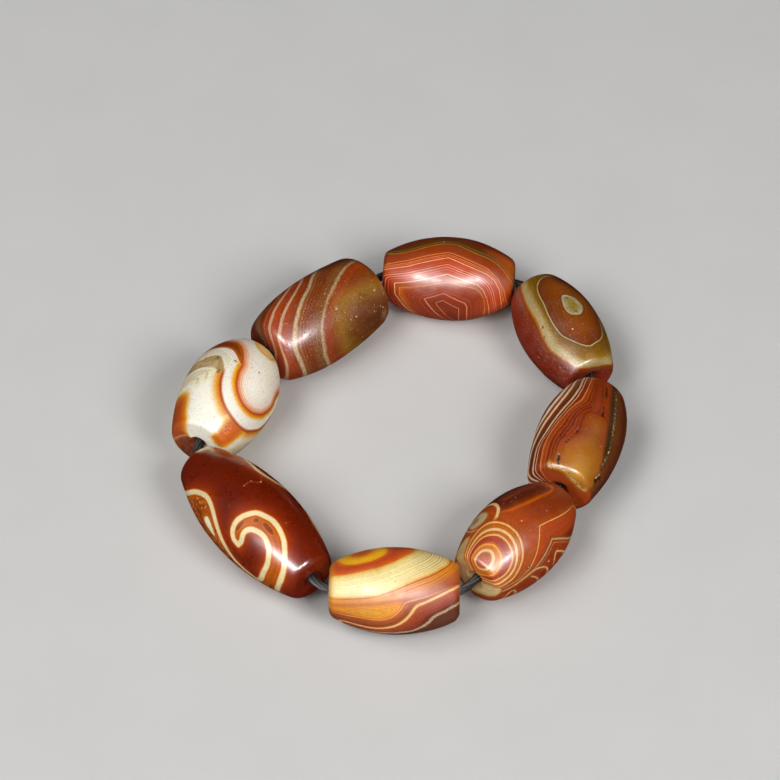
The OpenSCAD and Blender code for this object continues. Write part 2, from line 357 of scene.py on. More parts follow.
class Bead:
    """A turned barrel with its map. s and g are in mm, and g repeats every turn mm."""

    def __init__(self, node):
        self.node = node
        self.bm, self.radius = turned_barrel(node)
        x, y, z = np.array([vertex.co[:] for vertex in self.bm.verts]).T / MM
        self.away = np.hypot(y, z)
        self.turn = math.tau * self.radius
        self.g = np.arctan2(-y, z) * self.radius
        # Past the rim the map runs on over the flat end, towards the bore
        left_end, right_end = BEAD_SIZES[node][ENDS]
        self.s = x + np.sign(x) * np.clip(np.where(x < 0, left_end, right_end) - self.away, 0, None)
        self.fields = {}
        self.sunk = np.zeros(len(x))

    def gap_to(self, line):
        """Distance in mm from each vertex to a line on the map."""
        line = np.asarray(line, np.float32)
        start, step = line[:-1], np.diff(line, axis=0)
        size = (step ** 2).sum(1) + 1e-9
        nearest = np.full(len(self.s), 1e6, np.float32)
        for turn in (-self.turn, 0, self.turn):
            across = self.s.astype(np.float32)[:, None] - start[:, 0]
            down = (self.g + turn).astype(np.float32)[:, None] - start[:, 1]
            share = np.clip((across * step[:, 0] + down * step[:, 1]) / size, 0, 1)
            gap = (across - share * step[:, 0]) ** 2 + (down - share * step[:, 1]) ** 2
            nearest = np.minimum(nearest, gap.min(1))
        return np.sqrt(nearest)

    def within(self, outline):
        """Whether each vertex is inside a closed outline on the map."""
        start = np.asarray(outline, np.float32)
        end = np.roll(start, -1, axis=0)
        rise = end[:, 1] - start[:, 1]
        rise[rise == 0] = 1e-9
        inside = np.zeros(len(self.s), bool)
        for turn in (-self.turn, 0, self.turn):
            down = (self.g + turn).astype(np.float32)[:, None]
            crosses = (start[:, 1] > down) != (end[:, 1] > down)
            at = start[:, 0] + (down - start[:, 1]) / rise * (end[:, 0] - start[:, 0])
            hits = crosses & (self.s.astype(np.float32)[:, None] < at)
            inside |= hits.sum(1) % 2 == 1
        return inside

    def edge_of(self, outline):
        """Distance in mm to a closed outline, negative inside it."""
        closed = np.vstack([outline, outline[:1]])
        return np.where(self.within(outline), -1, 1) * self.gap_to(closed)

    def nest(self, outlines, outer_step):
        """1 at the innermost of some nested outlines, 2 at the next and so on, below 1 in the middle."""
        edges = [self.edge_of(outline) for outline in outlines]
        level = 1 + edges[-1] / outer_step + len(outlines) - 1
        for ring in range(len(outlines) - 1, 0, -1):
            inner, outer = edges[ring - 1], edges[ring]
            between = ring + inner / np.maximum(inner - outer, 1e-6)
            level = np.where(outer < 0, between, level)
        deepest = max(float(-edges[0].min()), 1e-6)
        return np.where(edges[0] < 0, 1 + edges[0] / deepest, level)

    def under(self, line, back=BACK):
        """The outline of what lies below a line that runs past both ends, closed round the back."""
        right, left = line[-1][0], line[0][0]
        far = back * self.turn
        closing = [(left + (right - left) * (share + 1) / 2, far + sway) for share, sway in BACK_SWAYS]
        return np.vstack([smooth(line, parts=3), smooth(closing, parts=4)])

    def keep(self, name, values):
        """Keeps a field as an attribute that the bead's shader reads."""
        self.fields[name] = np.asarray(values, np.float32)

    def outline(self, name, *outlines):
        """Keeps the distance to smooth closed outlines, negative inside them."""
        edges = [self.edge_of(smooth(outline, closed=True)) for outline in outlines]
        self.keep(name, np.minimum.reduce(edges))

    def lines(self, name, *lines, draw=smooth):
        """Keeps the distance to the nearest of some lines, drawn smooth or, with draw=list, as they are."""
        self.keep(name, np.minimum.reduce([self.gap_to(draw(line)) for line in lines]))

    def border(self, name, line):
        """Keeps the distance to a line that runs past both ends, positive below it, towards the viewer."""
        self.keep(name, -self.edge_of(self.under(line)))

    def rings(self, name, outer_step, *outlines):
        """Keeps the level among smooth nested outlines, and beyond the last one it grows by 1 a step."""
        drawn = [smooth(outline, closed=True, parts=3) for outline in outlines]
        self.keep(name, self.nest(drawn, outer_step))

    def layers(self, name, outer_step, *lines):
        """Keeps 1 at the first of some lines that run from end to end, 2 at the next below, and so on."""
        count = len(lines)
        drawn = [smooth(line, parts=3) for line in lines[::-1]]
        backs = np.linspace(*LAYERED_BACKS, count)
        levels = self.nest([self.under(line, back) for line, back in zip(drawn, backs)], outer_step)
        deep = -self.edge_of(self.under(drawn[0], backs[0]))
        self.keep(name, np.where(deep > 0, count + deep / outer_step, count + 1 - levels))

    def dots(self, name, *places):
        """Keeps the distance to the nearest of some round spots, each given as (s, g, radius)."""
        nearest = np.full(len(self.s), FARTHEST_SPOT)
        for across, down, radius in places:
            nearest = np.minimum(nearest, self.gap_to_spot(across, down) - radius)
        self.keep(name, np.clip(nearest, 0, None))

    def gap_to_spot(self, across, down):
        """Distance in mm to a spot, the shorter way round the belly."""
        round_way = (self.g - down + self.turn / 2) % self.turn - self.turn / 2
        return np.hypot(self.s - across, round_way)

    def dent(self, *places):
        """Sinks small pits into the skin, each given as (s, g, radius)."""
        for across, down, radius in places:
            reach = PIT_REACH + radius
            gap = np.minimum(self.gap_to_spot(across, down), FARTHEST_SPOT)
            self.sunk = np.maximum(self.sunk, PIT_DEPTH * reach * np.exp(-(gap / reach) ** 2))

    def grind(self):
        """Moves the skin inwards by its pits and by the shallow waves that grinding by hand leaves."""
        seed = Vector((sum(map(ord, self.node)) % 97, 0, 0))
        for vertex, away, sunk in zip(self.bm.verts, self.away, self.sunk):
            if away > MOUTH_RADIUS + RING_STEP / 2:
                wave = 0.5 + 0.5 * noise.noise(vertex.co / (GRIND_SIZE * MM) + seed)
                fade = min(1.0, (away - MOUTH_RADIUS) / GRIND_FADE)
                inwards = (sunk + GRIND_DEPTH * wave * fade) * MM
                vertex.co -= Vector((0, vertex.co.y, vertex.co.z)).normalized() * inwards

    def dress(self, slot, ground, *coats, **finish):
        """Grinds the barrel, gives it its place, its fields and its stone, and joins it to the frame."""
        self.grind()
        bmesh.ops.transform(self.bm, matrix=bead_place(self.node), verts=self.bm.verts)
        mesh = bpy.data.meshes.new(self.node.replace("bead", "stone"))
        self.bm.to_mesh(mesh)
        self.bm.free()
        mesh.polygons.foreach_set("use_smooth", [True] * len(mesh.polygons))
        for name, values in self.fields.items():
            mesh.attributes.new(name, "FLOAT", "POINT").data.foreach_set("value", values)
        mesh.materials.append(stone(slot, ground, coats, **finish))
        thing = bpy.data.objects.new(mesh.name, mesh)
        scene.collection.objects.link(thing)
        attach(thing, "root")
        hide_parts(self.node)
        print(thing.name, "faces:", len(mesh.polygons), "fields:", ", ".join(self.fields))


# %% [markdown]
# ## Stone
# Every bead has the same kind of stone, so one function makes its shader. The colour is laid on in coats,
# each over the ones before, with a cover from 0 to 1. A ramp coat paints colours at chosen values of one
# field. A line coat draws fine growth lines, evenly spaced in a field, some strong and some faint. A
# speck coat scatters tiny dots. A little noise is added to the fields first, because nature draws no
# perfect line. Then come cloudy patches, the gloss and its small scratches and pores.

# %% Coats of colour
# A scale of noise is in features per metre, and for lines in features per line
WOBBLE_SCALE = 420
UNEVEN_SCALE = 0.43
SOFTEST_END = 0.15
SPECK_EDGE = 0.06
SPECK_WOBBLE = 0.3


def sheer(colour, cover=1):
    """A colour whose alpha says how much it covers."""
    return (*tint(colour)[:3], cover)


def ramp_coat(field, wobble, *stops):
    """Colours at chosen values of a field. A stop is (value, colour) and a cover, if that is below 1."""
    def lay(kit, below):
        low, high = stops[0][0], stops[-1][0]
        ramp = add_node(kit.tree, "ValToRGB", Fac=kit.map_range(kit.moved(field, wobble), low, high, 0, 1))
        elements = ramp.color_ramp.elements
        for value, *paint in stops[1:-1]:
            elements.new((value - low) / (high - low)).color = sheer(*paint)
        for end in (0, -1):
            elements[end].color = sheer(*stops[end][1:])
        return kit.mix(below, ramp.outputs["Color"], ramp.outputs["Alpha"])
    return lay


def crisp_coat(field, wobble, *lines):
    """Crisp lines at chosen values of a field, each as (value, half its width, colour, cover)."""
    stops = []
    for value, half, colour, cover in lines:
        stops += [(value - 2 * half, colour, 0), (value - half, colour, cover)]
        stops += [(value + half, colour, cover), (value + 2 * half, colour, 0)]
    return ramp_coat(field, wobble, *stops)


def line_coat(field, wobble, per_unit, reach, colour, cover, width=0.34, faintest=0.2, where=None):
    """Fine lines, per_unit to a unit of a field, between two values of it. Width is a share of their step.

    They fade in between two values of another field, if where names one."""
    def lay(kit, below):
        low, high = reach
        soft = min(SOFTEST_END, (high - low) / 5)
        moved = kit.moved(field, wobble)
        count = kit.math("MULTIPLY", moved, per_unit)
        uneven = kit.noise_along(count, UNEVEN_SCALE, 1)
        shares = [kit.map_range(kit.math("PINGPONG", count, 0.5), width / 2, width / 6, 0, cover),
                  kit.map_range(uneven, 0.38, 0.62, faintest, 1), *kit.between(moved, low, high, soft, 1)]
        if where:
            shares.append(kit.map_range(kit.moved(where[0], 0), *where[1:], 0, 1))
        return kit.mix(below, tint(colour), kit.product(*shares))
    return lay


def speck_coat(size, limit, colour, cover, field=None, enter=None, leave=None):
    """Dots of a size in mm, all over or between enter and leave of a field. A lower limit draws more."""
    def lay(kit, below):
        dots = add_node(kit.tree, "TexNoise", Vector=kit.spot, Scale=0.5 / (size * MM), Detail=0)
        shares = [kit.map_range(dots.outputs["Fac"], limit, limit + SPECK_EDGE, 0, cover)]
        if enter:
            shares.append(kit.map_range(kit.moved(field, SPECK_WOBBLE), *enter, 0, 1))
        if leave:
            shares.append(kit.map_range(kit.moved(field, SPECK_WOBBLE), *leave, 1, 0))
        return kit.mix(below, tint(colour), kit.product(*shares))
    return lay


class Kit:
    """The tree of one stone with the nodes that its coats share."""

    def __init__(self, tree):
        self.tree = tree
        self.spot = add_node(tree, "TexCoord").outputs["Object"]
        self.noise = self.noise_of(WOBBLE_SCALE, 4, 0.55)
        self.centred = self.math("SUBTRACT", self.noise, 0.5)
        self.fields = {}

    def noise_of(self, scale, detail, roughness=0.5):
        """Noise all over the stone."""
        return add_node(self.tree, "TexNoise", Vector=self.spot, Scale=scale, Detail=detail,
                        Roughness=roughness).outputs["Fac"]

    def noise_along(self, value, scale, detail, roughness=0.5):
        """Noise that changes with one value alone."""
        return add_node(self.tree, "TexNoise", {"noise_dimensions": "1D"}, W=value, Scale=scale,
                        Detail=detail, Roughness=roughness).outputs["Fac"]

    def math(self, operation, *values):
        """One of the shader's sums, of two or three values."""
        sockets = {f"i{number}": value for number, value in enumerate(values)}
        return add_node(self.tree, "Math", {"operation": operation}, **sockets).outputs[0]

    def product(self, share, *shares):
        """The product of some shares."""
        for other in shares:
            share = self.math("MULTIPLY", share, other)
        return share

    def map_range(self, value, low, high, to_low, to_high):
        """Maps low to to_low and high to to_high, and stays there beyond them."""
        return add_node(self.tree, "MapRange", Value=value, From_Min=low, From_Max=high, To_Min=to_low,
                        To_Max=to_high).outputs["Result"]

    def between(self, value, low, high, soft, most):
        """Two shares. Their product is most between low and high, and fades softly to 0 at both."""
        return [self.map_range(value, low, low + soft, 0, most),
                self.map_range(value, high, high - soft, 0, 1)]

    def moved(self, field, wobble):
        """A field of the mesh, moved to and fro by noise, in the field's own units."""
        if field not in self.fields:
            self.fields[field] = add_node(self.tree, "Attribute", {"attribute_name": field}).outputs["Fac"]
        return self.math("MULTIPLY_ADD", self.centred, wobble, self.fields[field])

    def mix(self, below, above, share):
        """One colour over another, which it covers by a share."""
        return add_node(self.tree, "Mix", {"data_type": "RGBA"}, i0=share, i6=below, i7=above).outputs[2]

    def scaled(self, colour, factor):
        """A colour made lighter or darker by a factor."""
        return add_node(self.tree, "VectorMath", {"operation": "SCALE"}, i0=colour, Scale=factor).outputs[0]


# %% Stone shader
GROWTH_FADE = 0.2
CLOUD_SCALE = 160
CRUMB_SCALE = 2400
CRUMB = 0.07
SCRATCH_SCALE = 1500
SCRATCH_HEIGHT = 0.03 * MM
PORE_SCALE = 2600
PORE_DEPTH = 0.06 * MM
AGATE_IOR = 1.54


def growth_shade(kit, field, per_unit, depth, low, high):
    """A factor near 1 that shades the stone in fine growth lines between two values of a field."""
    along = kit.math("MULTIPLY", kit.moved(field, 1 / per_unit), per_unit)
    swing = kit.map_range(kit.noise_along(along, 1, 3, 0.7), 0.3, 0.7, -1, 1)
    shares = kit.between(kit.moved(field, 0), low, high, GROWTH_FADE, depth)
    return kit.math("ADD", kit.product(swing, *shares), 1)


def stone(name, ground, coats, growth=None, cloud=0.12, rough=(0.32, 0.48), coat=(0.08, 0.17), pitted=0):
    """An agate: ground colour, coats, growth lines as (field, per unit, depth, low, high), and gloss."""
    material, tree, shader = plain_material(name)
    kit = Kit(tree)
    colour = tint(ground)
    for lay in coats:
        colour = lay(kit, colour)
    if growth:
        colour = kit.scaled(colour, growth_shade(kit, *growth))
    for scale, detail, roughness, swing in ((CLOUD_SCALE, 3, 0.6, cloud), (CRUMB_SCALE, 2, 0.5, CRUMB)):
        patches = kit.noise_of(scale, detail, roughness)
        colour = kit.scaled(colour, kit.map_range(patches, 0.3, 0.7, 1 - swing, 1 + swing))
    deeper = add_node(tree, "HueSaturation", Saturation=1.1, Value=1.05, Color=colour)
    tree.links.new(deeper.outputs["Color"], shader.inputs["Base Color"])
    tree.links.new(kit.map_range(kit.noise, 0.35, 0.65, *rough), shader.inputs["Roughness"])
    for socket, value in (("IOR", AGATE_IOR), ("Specular IOR Level", 0.45), ("Coat Weight", coat[0]),
                          ("Coat Roughness", coat[1]), ("Subsurface Weight", 0.12),
                          ("Subsurface Radius", (1, 0.45, 0.25)), ("Subsurface Scale", 0.8 * MM)):
        shader.inputs[socket].default_value = value
    scratches = kit.noise_of(SCRATCH_SCALE, 4, 0.6)
    bump = add_node(tree, "Bump", Height=scratches, Strength=0.35, Distance=SCRATCH_HEIGHT)
    if pitted:
        holes = kit.map_range(kit.noise_of(PORE_SCALE, 1), 0.62, 0.72, 0, 1)
        bump = add_node(tree, "Bump", {"invert": True}, Height=holes, Strength=pitted, Distance=PORE_DEPTH,
                        Normal=bump.outputs["Normal"])
    tree.links.new(bump.outputs["Normal"], shader.inputs["Normal"])
    return material


# %% [markdown]
# ## The colours of carnelian and agate
# Heated and dyed agate runs from ivory over yellow and orange to a deep red-brown. The beads share these
# tints, so the string hangs together, and each bead adds a few of its own.

# %% Tints
IVORY = "#eee4d8"
CREAM = "#dec08c"
AMBER = "#bc7028"
ORANGE = "#b85218"
RED_ORANGE = "#a63612"
PINK = "#b65438"
BROWN = "#7a3a14"
RED_BROWN = "#6c1c0a"
OLIVE = "#74541c"
PIT = "#241008"
GRAIN = "#ecd6be"

PITS = ramp_coat("pits", 0.06, (0, PIT, 0.95), (0.06, PIT, 0.7), (0.17, PIT, 0))
GRAINS = ramp_coat("grains", 0.06, (0, GRAIN, 0.85), (0.04, GRAIN, 0.6), (0.13, GRAIN, 0))

# %% [markdown]
# ## Hexagon bead
# This carnelian was cut across a pocket whose bands follow the faces of a crystal, so they make nested
# hexagons with real corners. The outlines are therefore left as drawn, with straight sides, and only the
# outermost band is smooth. The middle lies low on the viewer's side, and the bands open towards the top
# like roofs.

# %% Hexagon bead
bead = Bead("hexagon_bead")
print("turn of its map in mm:", round(bead.turn, 1), "vertices:", len(bead.s))
bead.keep("bands", bead.nest([
    [(2, 18), (2.1, 12), (-0.9, 10.2), (-2.3, 10.9), (0, 14.5), (1.6, 17.4)],
    [(3.5, 20.5), (3.5, 11.5), (3.1, 10.7), (-0.8, 8.7), (-4.4, 10.3), (-2.5, 13.2), (-0.5, 16),
     (1.5, 19.5)],
    [(6, 24), (7, 13), (6.8, 10), (5.9, 8.1), (5, 7.4), (-0.3, 6.4), (-9.3, 8.7), (-9.2, 11), (-7.2, 14.5),
     (-4.5, 18), (-1, 24)],
    [(7, 25), (7.6, 17), (7.6, 13), (7.1, 9.8), (6.4, 7.9), (5.4, 6.8), (-0.3, 5), (-10.1, 7.9), (-9.9, 11),
     (-8.2, 14), (-5.5, 18), (-2, 25)],
    [(8, 29), (10, 16), (9.9, 12), (9.5, 8), (8.5, 5.5), (7, 4.2), (3, 2.9), (-0.3, 1.6), (-4, 2.5),
     (-8, 3.5), (-14, 4.1), (-16, 20), (-8, 29)],
    [(10, 31.5), (11, 15), (10.7, 12), (10.2, 8), (9, 5), (7, 3), (3, 1.6), (-0.3, 0.5), (-4, 1.2),
     (-8, 2.1), (-14, 2.3), (-18, 20), (-10, 31.5)],
    smooth([
        (11, 37), (13, 12), (12, 7), (11.3, 5), (10.2, 2.8), (9, 1.3), (7.5, 0.4), (5, -0.1), (3, -0.8),
        (1.5, -1.6), (0, -1.9), (-2, -1.8), (-4, -1.3), (-6, -0.7), (-8, -0.45), (-9.5, -0.6), (-11, -1.4),
        (-14, -3.8), (-20, 10), (-16, 37)], closed=True, parts=3)], outer_step=1.5))
bead.outline("right", [
    (7.4, -1.8), (8.6, -0.6), (9.8, 0.8), (10.8, 3), (11.4, 6), (12, 9), (20, 9), (20, -1), (13, -3),
    (9.5, -2.8)])
bead.outline("left", [(-9.4, 8.4), (-6.8, 8), (-8.2, 9.2), (-8, 10.6), (-7, 13), (-8, 12.8), (-9.3, 10.8)])
bead.dots("grains", (-1.5, -2.5, 0.12), (-0.1, 11.5, 0), (-5, 10.5, 0), (7.9, 6.2, 0))
rose, line_pink = "#883c2a", "#ecaa86"
bead.dress(
    "hexagon_agate", BROWN,
    ramp_coat("bands", 0.08, (0, rose), (1.9, "#903218"), (2.8, "#963618"), (3.1, "#a85024"),
              (3.9, "#a64018"), (4.1, "#b6360e"), (5, "#ba3c0c"), (5.9, "#b03e0c"), (6.15, "#9e3c0c"),
              (6.8, "#963a0c"), (7.1, "#683c10"), (7.9, "#62320c"), (9, "#7c300e"), (11.5, RED_BROWN)),
    line_coat("bands", 0.05, 4, (0.9, 2.1), "#b0684e", 0.5, 0.3),
    line_coat("bands", 0.05, 8, (2.1, 3), "#be7456", 0.7, 0.4, 0.4),
    line_coat("bands", 0.03, 7, (4.05, 4.95), line_pink, 0.8, 0.46, 0.3),
    line_coat("bands", 0.06, 7, (6.9, 8.6), "#946428", 0.35),
    line_coat("bands", 0.15, 1.4, (10.2, 15), "#be784a", 0.6, 0.3),
    ramp_coat("right", 2, (-2.5, "#be5c10", 0.9), (0, "#b04c10", 0.7), (1.6, ORANGE, 0)),
    ramp_coat("left", 0.6, (-0.9, "#ce7434", 0.8), (-0.2, "#ba5c28", 0.5), (0.4, ORANGE, 0)),
    crisp_coat("bands", 0.04, (1, 0.035, "#cc8e76", 0.9), (2, 0.035, "#ce8c6e", 0.9),
               (3, 0.035, "#dc8e5a", 0.7), (4, 0.03, "#e6b48a", 1)),
    crisp_coat("bands", 0.04, (5, 0.028, "#eeb888", 0.95), (5.3, 0.03, "#e09260", 0.8),
               (5.56, 0.03, "#e8a070", 0.95), (5.99, 0.035, "#de9862", 0.95), (6.99, 0.04, "#b28248", 0.9),
               (7.46, 0.04, "#987442", 0.9)),
    GRAINS, growth=("bands", 13, 0.1, 4, 9))

# %% [markdown]
# ## Eye bead
# An eye is a stalactite of agate cut across: a small pale ring on a brown disc. Round it run a thin cream
# line, an olive field and a broad, pitted, grey-cream band, and below them the stone turns a dark red.
# Each outline gets its own coat, whose colours change with the distance in millimetres from that outline.

# %% Eye bead
bead = Bead("eye_bead")
bead.outline("ring", [
    (-2.2, -1.7), (-1.6, -2.8), (-0.3, -3.7), (0.9, -4), (2.3, -3.5), (3.2, -2.3), (3.1, -1.2), (2.6, -0.4),
    (1.5, -0.1), (0.2, -0.3), (-1.2, -0.6), (-2, -1.1)])
bead.outline("loop", [
    (-8.9, -3), (-8.9, -1), (-8.2, 0.5), (-7, 1.7), (-5, 2.5), (-2, 2.8), (1, 3.2), (3.5, 3.4), (6, 3.1),
    (8, 1.8), (9.2, 0.5), (9.9, -1.2), (9.5, -3), (8.7, -5), (7.3, -6.3), (5, -7.2), (3, -7.9), (0, -8.8),
    (-3, -8.6), (-6, -7.6), (-8, -5.5)])
# Painted shade: the disc is darkened at its top-left, which faces away from the lamps
bead.lines("painted_shade", [(-7.5, -6.5), (-4, -8.5)])
bead.outline("band", [
    (-13, 3.6), (-10, 4.4), (-8, 4.9), (-4, 5.1), (0, 5.1), (3, 5.7), (6, 6.3), (8, 6), (10.2, 5.2),
    (12, 4), (13.4, 1.6), (13.8, -3), (13, -6.5), (11.5, -9.5), (7, -11.5), (1, -12.5), (-5, -11.5),
    (-9.5, -9), (-11.5, -5), (-14, -1)])
pits = [(-1.4, -1.9, 0.12), (2.3, -2, 0.12), (-1.3, -1.4, 0), (2.1, 5.4, 0.15), (3.8, 6.3, 0.1),
        (-7.4, 4.4, 0.05), (5.5, 8.6, 0.05), (6.8, 8.2, 0.1), (8.3, 7.4, 0.05), (9.2, 8.9, 0.05),
        (7.2, 9.8, 0), (10, 7.8, 0.1)]
bead.dots("pits", *pits)
bead.dots("grains", (5.4, -1.9, 0.05), (5.8, 0.6, 0.12), (5, 1.3, 0), (6.4, 0.9, 0), (-3.2, -0.3, 0),
          (5, 10.6, 0.1), (6.6, 1.6, 0), (4.4, 0.2, 0), (8, -1, 0))
bead.dent(*pits)
disc, loop_line = "#8c460e", "#b8a478"
bead.dress(
    "eye_agate", "#681c05",
    ramp_coat("band", 0.4, (-6, "#784e14"), (-2.6, "#825a1c"), (-1.5, "#987436"), (-1.15, "#a68a54"),
              (-0.6, "#b09a6c"), (0.2, "#b29c70"), (0.45, "#b88846"), (0.65, "#a85c18"), (1.3, "#88340c"),
              (2.4, "#762105"), (6, "#862204"), (12, "#781e04")),
    line_coat("band", 0.3, 2.6, (-2.4, 0.5), "#785828", 0.3),
    crisp_coat("band", 0.5, (0.98, 0.06, "#3c1406", 0.7)),
    speck_coat(0.14, 0.6, "#cec09a", 0.5, "band", (-1.6, -1), (0.1, 0.4)),
    speck_coat(0.12, 0.7, "#ce8264", 0.6, "band", (0.6, 2)),
    ramp_coat("loop", 0.25, (-6.5, disc), (-3.6, disc), (-1.2, "#78360c"), (-0.16, "#68300c"),
              (-0.06, loop_line), (0.05, loop_line), (0.13, "#6e4c1a", 0.9), (1.4, OLIVE, 0)),
    line_coat("loop", 0.6, 1.4, (-5.5, -0.5), "#9c5418", 0.3, 0.5),
    # Painted shade over the disc's top-left
    ramp_coat("painted_shade", 1, (0, "#541a04", 0.9), (2.5, "#5a2006", 0.7), (5.5, disc, 0)),
    ramp_coat("ring", 0.5, (-1.9, "#9e8640"), (-1.25, "#9e8644"), (-0.6, "#ae9c76"), (-0.12, "#baac8e"),
              (0, "#967e58"), (0.1, "#703c16", 0.9), (0.5, disc, 0)),
    speck_coat(0.16, 0.62, "#6e5432", 0.6, "ring", (0, -0.3)),
    speck_coat(0.1, 0.78, "#d8b496", 0.6),
    PITS, GRAINS, growth=("band", 2.6, 0.1, -9, 20), pitted=0.5)

# %% [markdown]
# ## Fine-line bead
# Its bands are almost flat layers that run from end to end, so the lines are open, and the stack of them
# gives the field. Under the lines lies a clear amber window with a row of small pits along its upper
# edge, then a dark seam with crystal specks.

# %% Fine-line bead
bead = Bead("line_bead")
bead.layers(
    "bands", 2,
    [(-16, -16), (-8, -15.5), (-2, -13.5), (2, -11.5), (5, -11), (8, -11.5), (14, -14)],
    [(-16, -14), (-8, -13), (-2.5, -9.2), (-1, -8.2), (0, -7.5), (2, -6.7), (4, -6.1), (6, -6.1), (8, -6.6),
     (10, -7.4), (14, -9.5)],
    [(-16, -12), (-9, -10.5), (-6, -9), (-4.5, -8), (-3, -7.2), (-1, -6.2), (1, -5.3), (3, -4.8), (5, -4.6),
     (7, -4.8), (9, -5.6), (10.5, -6.3), (14, -8.5)],
    [(-16, -11), (-13, -9.4), (-11.5, -7.9), (-10, -7.6), (-8, -7.3), (-6.5, -6.5), (-5, -5.5), (-2, -4.3),
     (1, -3.2), (3, -2.55), (5, -2.4), (7, -2.55), (10, -3.6), (14, -5.5)],
    [(-16, -9.5), (-13, -8), (-11.5, -7), (-10, -6.8), (-8, -6.5), (-6.5, -5.8), (-5, -4.9), (-2, -3.6),
     (1, -2.5), (3, -1.9), (5, -1.8), (7, -2), (10, -2.9), (14, -4.8)],
    [(-16, -8), (-13, -6), (-11.5, -5.4), (-10, -5.3), (-8, -5.2), (-6, -4.7), (-4, -3.9), (-2, -3.1),
     (0, -2.3), (1.5, -1.5), (3, -0.8), (5, -0.7), (7, -0.85), (10, -1.4), (14, -2.8)],
    [(-16, -1.6), (-12, -1), (-10, -1), (-8, -0.9), (-6, -0.2), (-4, 0.7), (-2, 0.6), (0, 0.9), (1, 2),
     (2, 2.7), (4, 2.4), (7, 1.8), (10, 1.2), (14, 0)])
bead.outline("window", [
    (-12.9, -2.6), (-12.2, -3), (-11.8, -1.4), (-10, -0.9), (-7.5, -0.8), (-6, 0.1), (-4, 0.9), (-2, 0.7),
    (0, 0.9), (0.9, 2), (1.2, 3.8), (0.8, 5.2), (-1, 6.3), (-4, 7.2), (-6, 8), (-8, 9.2), (-10, 9.8),
    (-12, 10.3), (-13.4, 10.4), (-14.2, 8.5), (-14.3, 5.5), (-13.6, 2.6), (-13.2, 0)])
bead.outline("end", [
    (-12.3, -3.4), (-13, -2.4), (-13.3, 0), (-13.8, 2.6), (-14.4, 5.5), (-14.3, 8.5), (-13.5, 10.5),
    (-12.1, 11), (-12.2, 16), (-14, 22), (-20, 20), (-20, -6), (-14, -5)])
bead.lines("crust", [
    (-12.1, -2.8), (-12.4, -1), (-12.5, 0.6), (-13.2, 2.8), (-13.9, 5.5), (-13.9, 8.5), (-13.2, 10.2)])
bead.lines("seam", [
    (-7.5, 8.9), (-6, 8.7), (-4, 8.5), (-2, 7.8), (0, 7.2), (2, 6.7), (4, 6.3), (6, 6), (8, 5.7),
    (9.5, 5.4)])
bead.outline("dark", [
    (-7.5, 9.2), (-4, 6.9), (0, 5.6), (4, 4.6), (8, 4.3), (14, 4), (14, 6), (8, 6.1), (2, 7), (-2, 8.1),
    (-6, 9.2)])
pits = [(-10.6, -1, 0.25), (-10.1, -1.1, 0.2), (-11.3, -0.7, 0.1), (-7, -0.6, 0.15), (-6.5, -0.3, 0.1),
        (-5.8, 0.1, 0.05), (-4.4, 0.7, 0.15), (-4.1, 0.8, 0.1), (1.3, 4, 0.2), (1.8, 3.9, 0.1),
        (3.3, 3.5, 0.1), (6.3, 3.4, 0.15), (7, 3.3, 0.15), (8.1, 3.1, 0.15), (8.8, 3, 0.1),
        (-9.6, 9.9, 0.6), (-8.8, 10.6, 0.3)]
bead.dots("pits", *pits)
# The last two pale dots sit in the large pit and are painted glints
bead.dots("grains", (-4.2, 8.5, 0.15), (-0.6, 7.5, 0.05), (1, 7, 0.05), (3.5, 6.3, 0.08), (-9.3, 9.7, 0.2),
          (-8.7, 9.6, 0.1))
bead.lines("marks", [(-11.6, -0.6), (-10.9, -1), (-9.9, -1.2)], [(-4.7, 0.7), (-4, 0.8)],
           [(1, 4.1), (2, 3.9), (3.2, 3.6)], [(6, 3.5), (7, 3.3), (8.6, 3)], draw=list)
bead.dent(*pits)
bead.lines("slope", [(-16, 4.5), (-12, 4.5)])
# Below the seam the stone is brown, and it darkens further down as painted shade
bead.border("below", [(-16, 11.5), (-9, 10), (-6, 9), (-2, 8.1), (2, 7), (6, 6.3), (12, 5.6)])
pale_line = "#e8be9c"
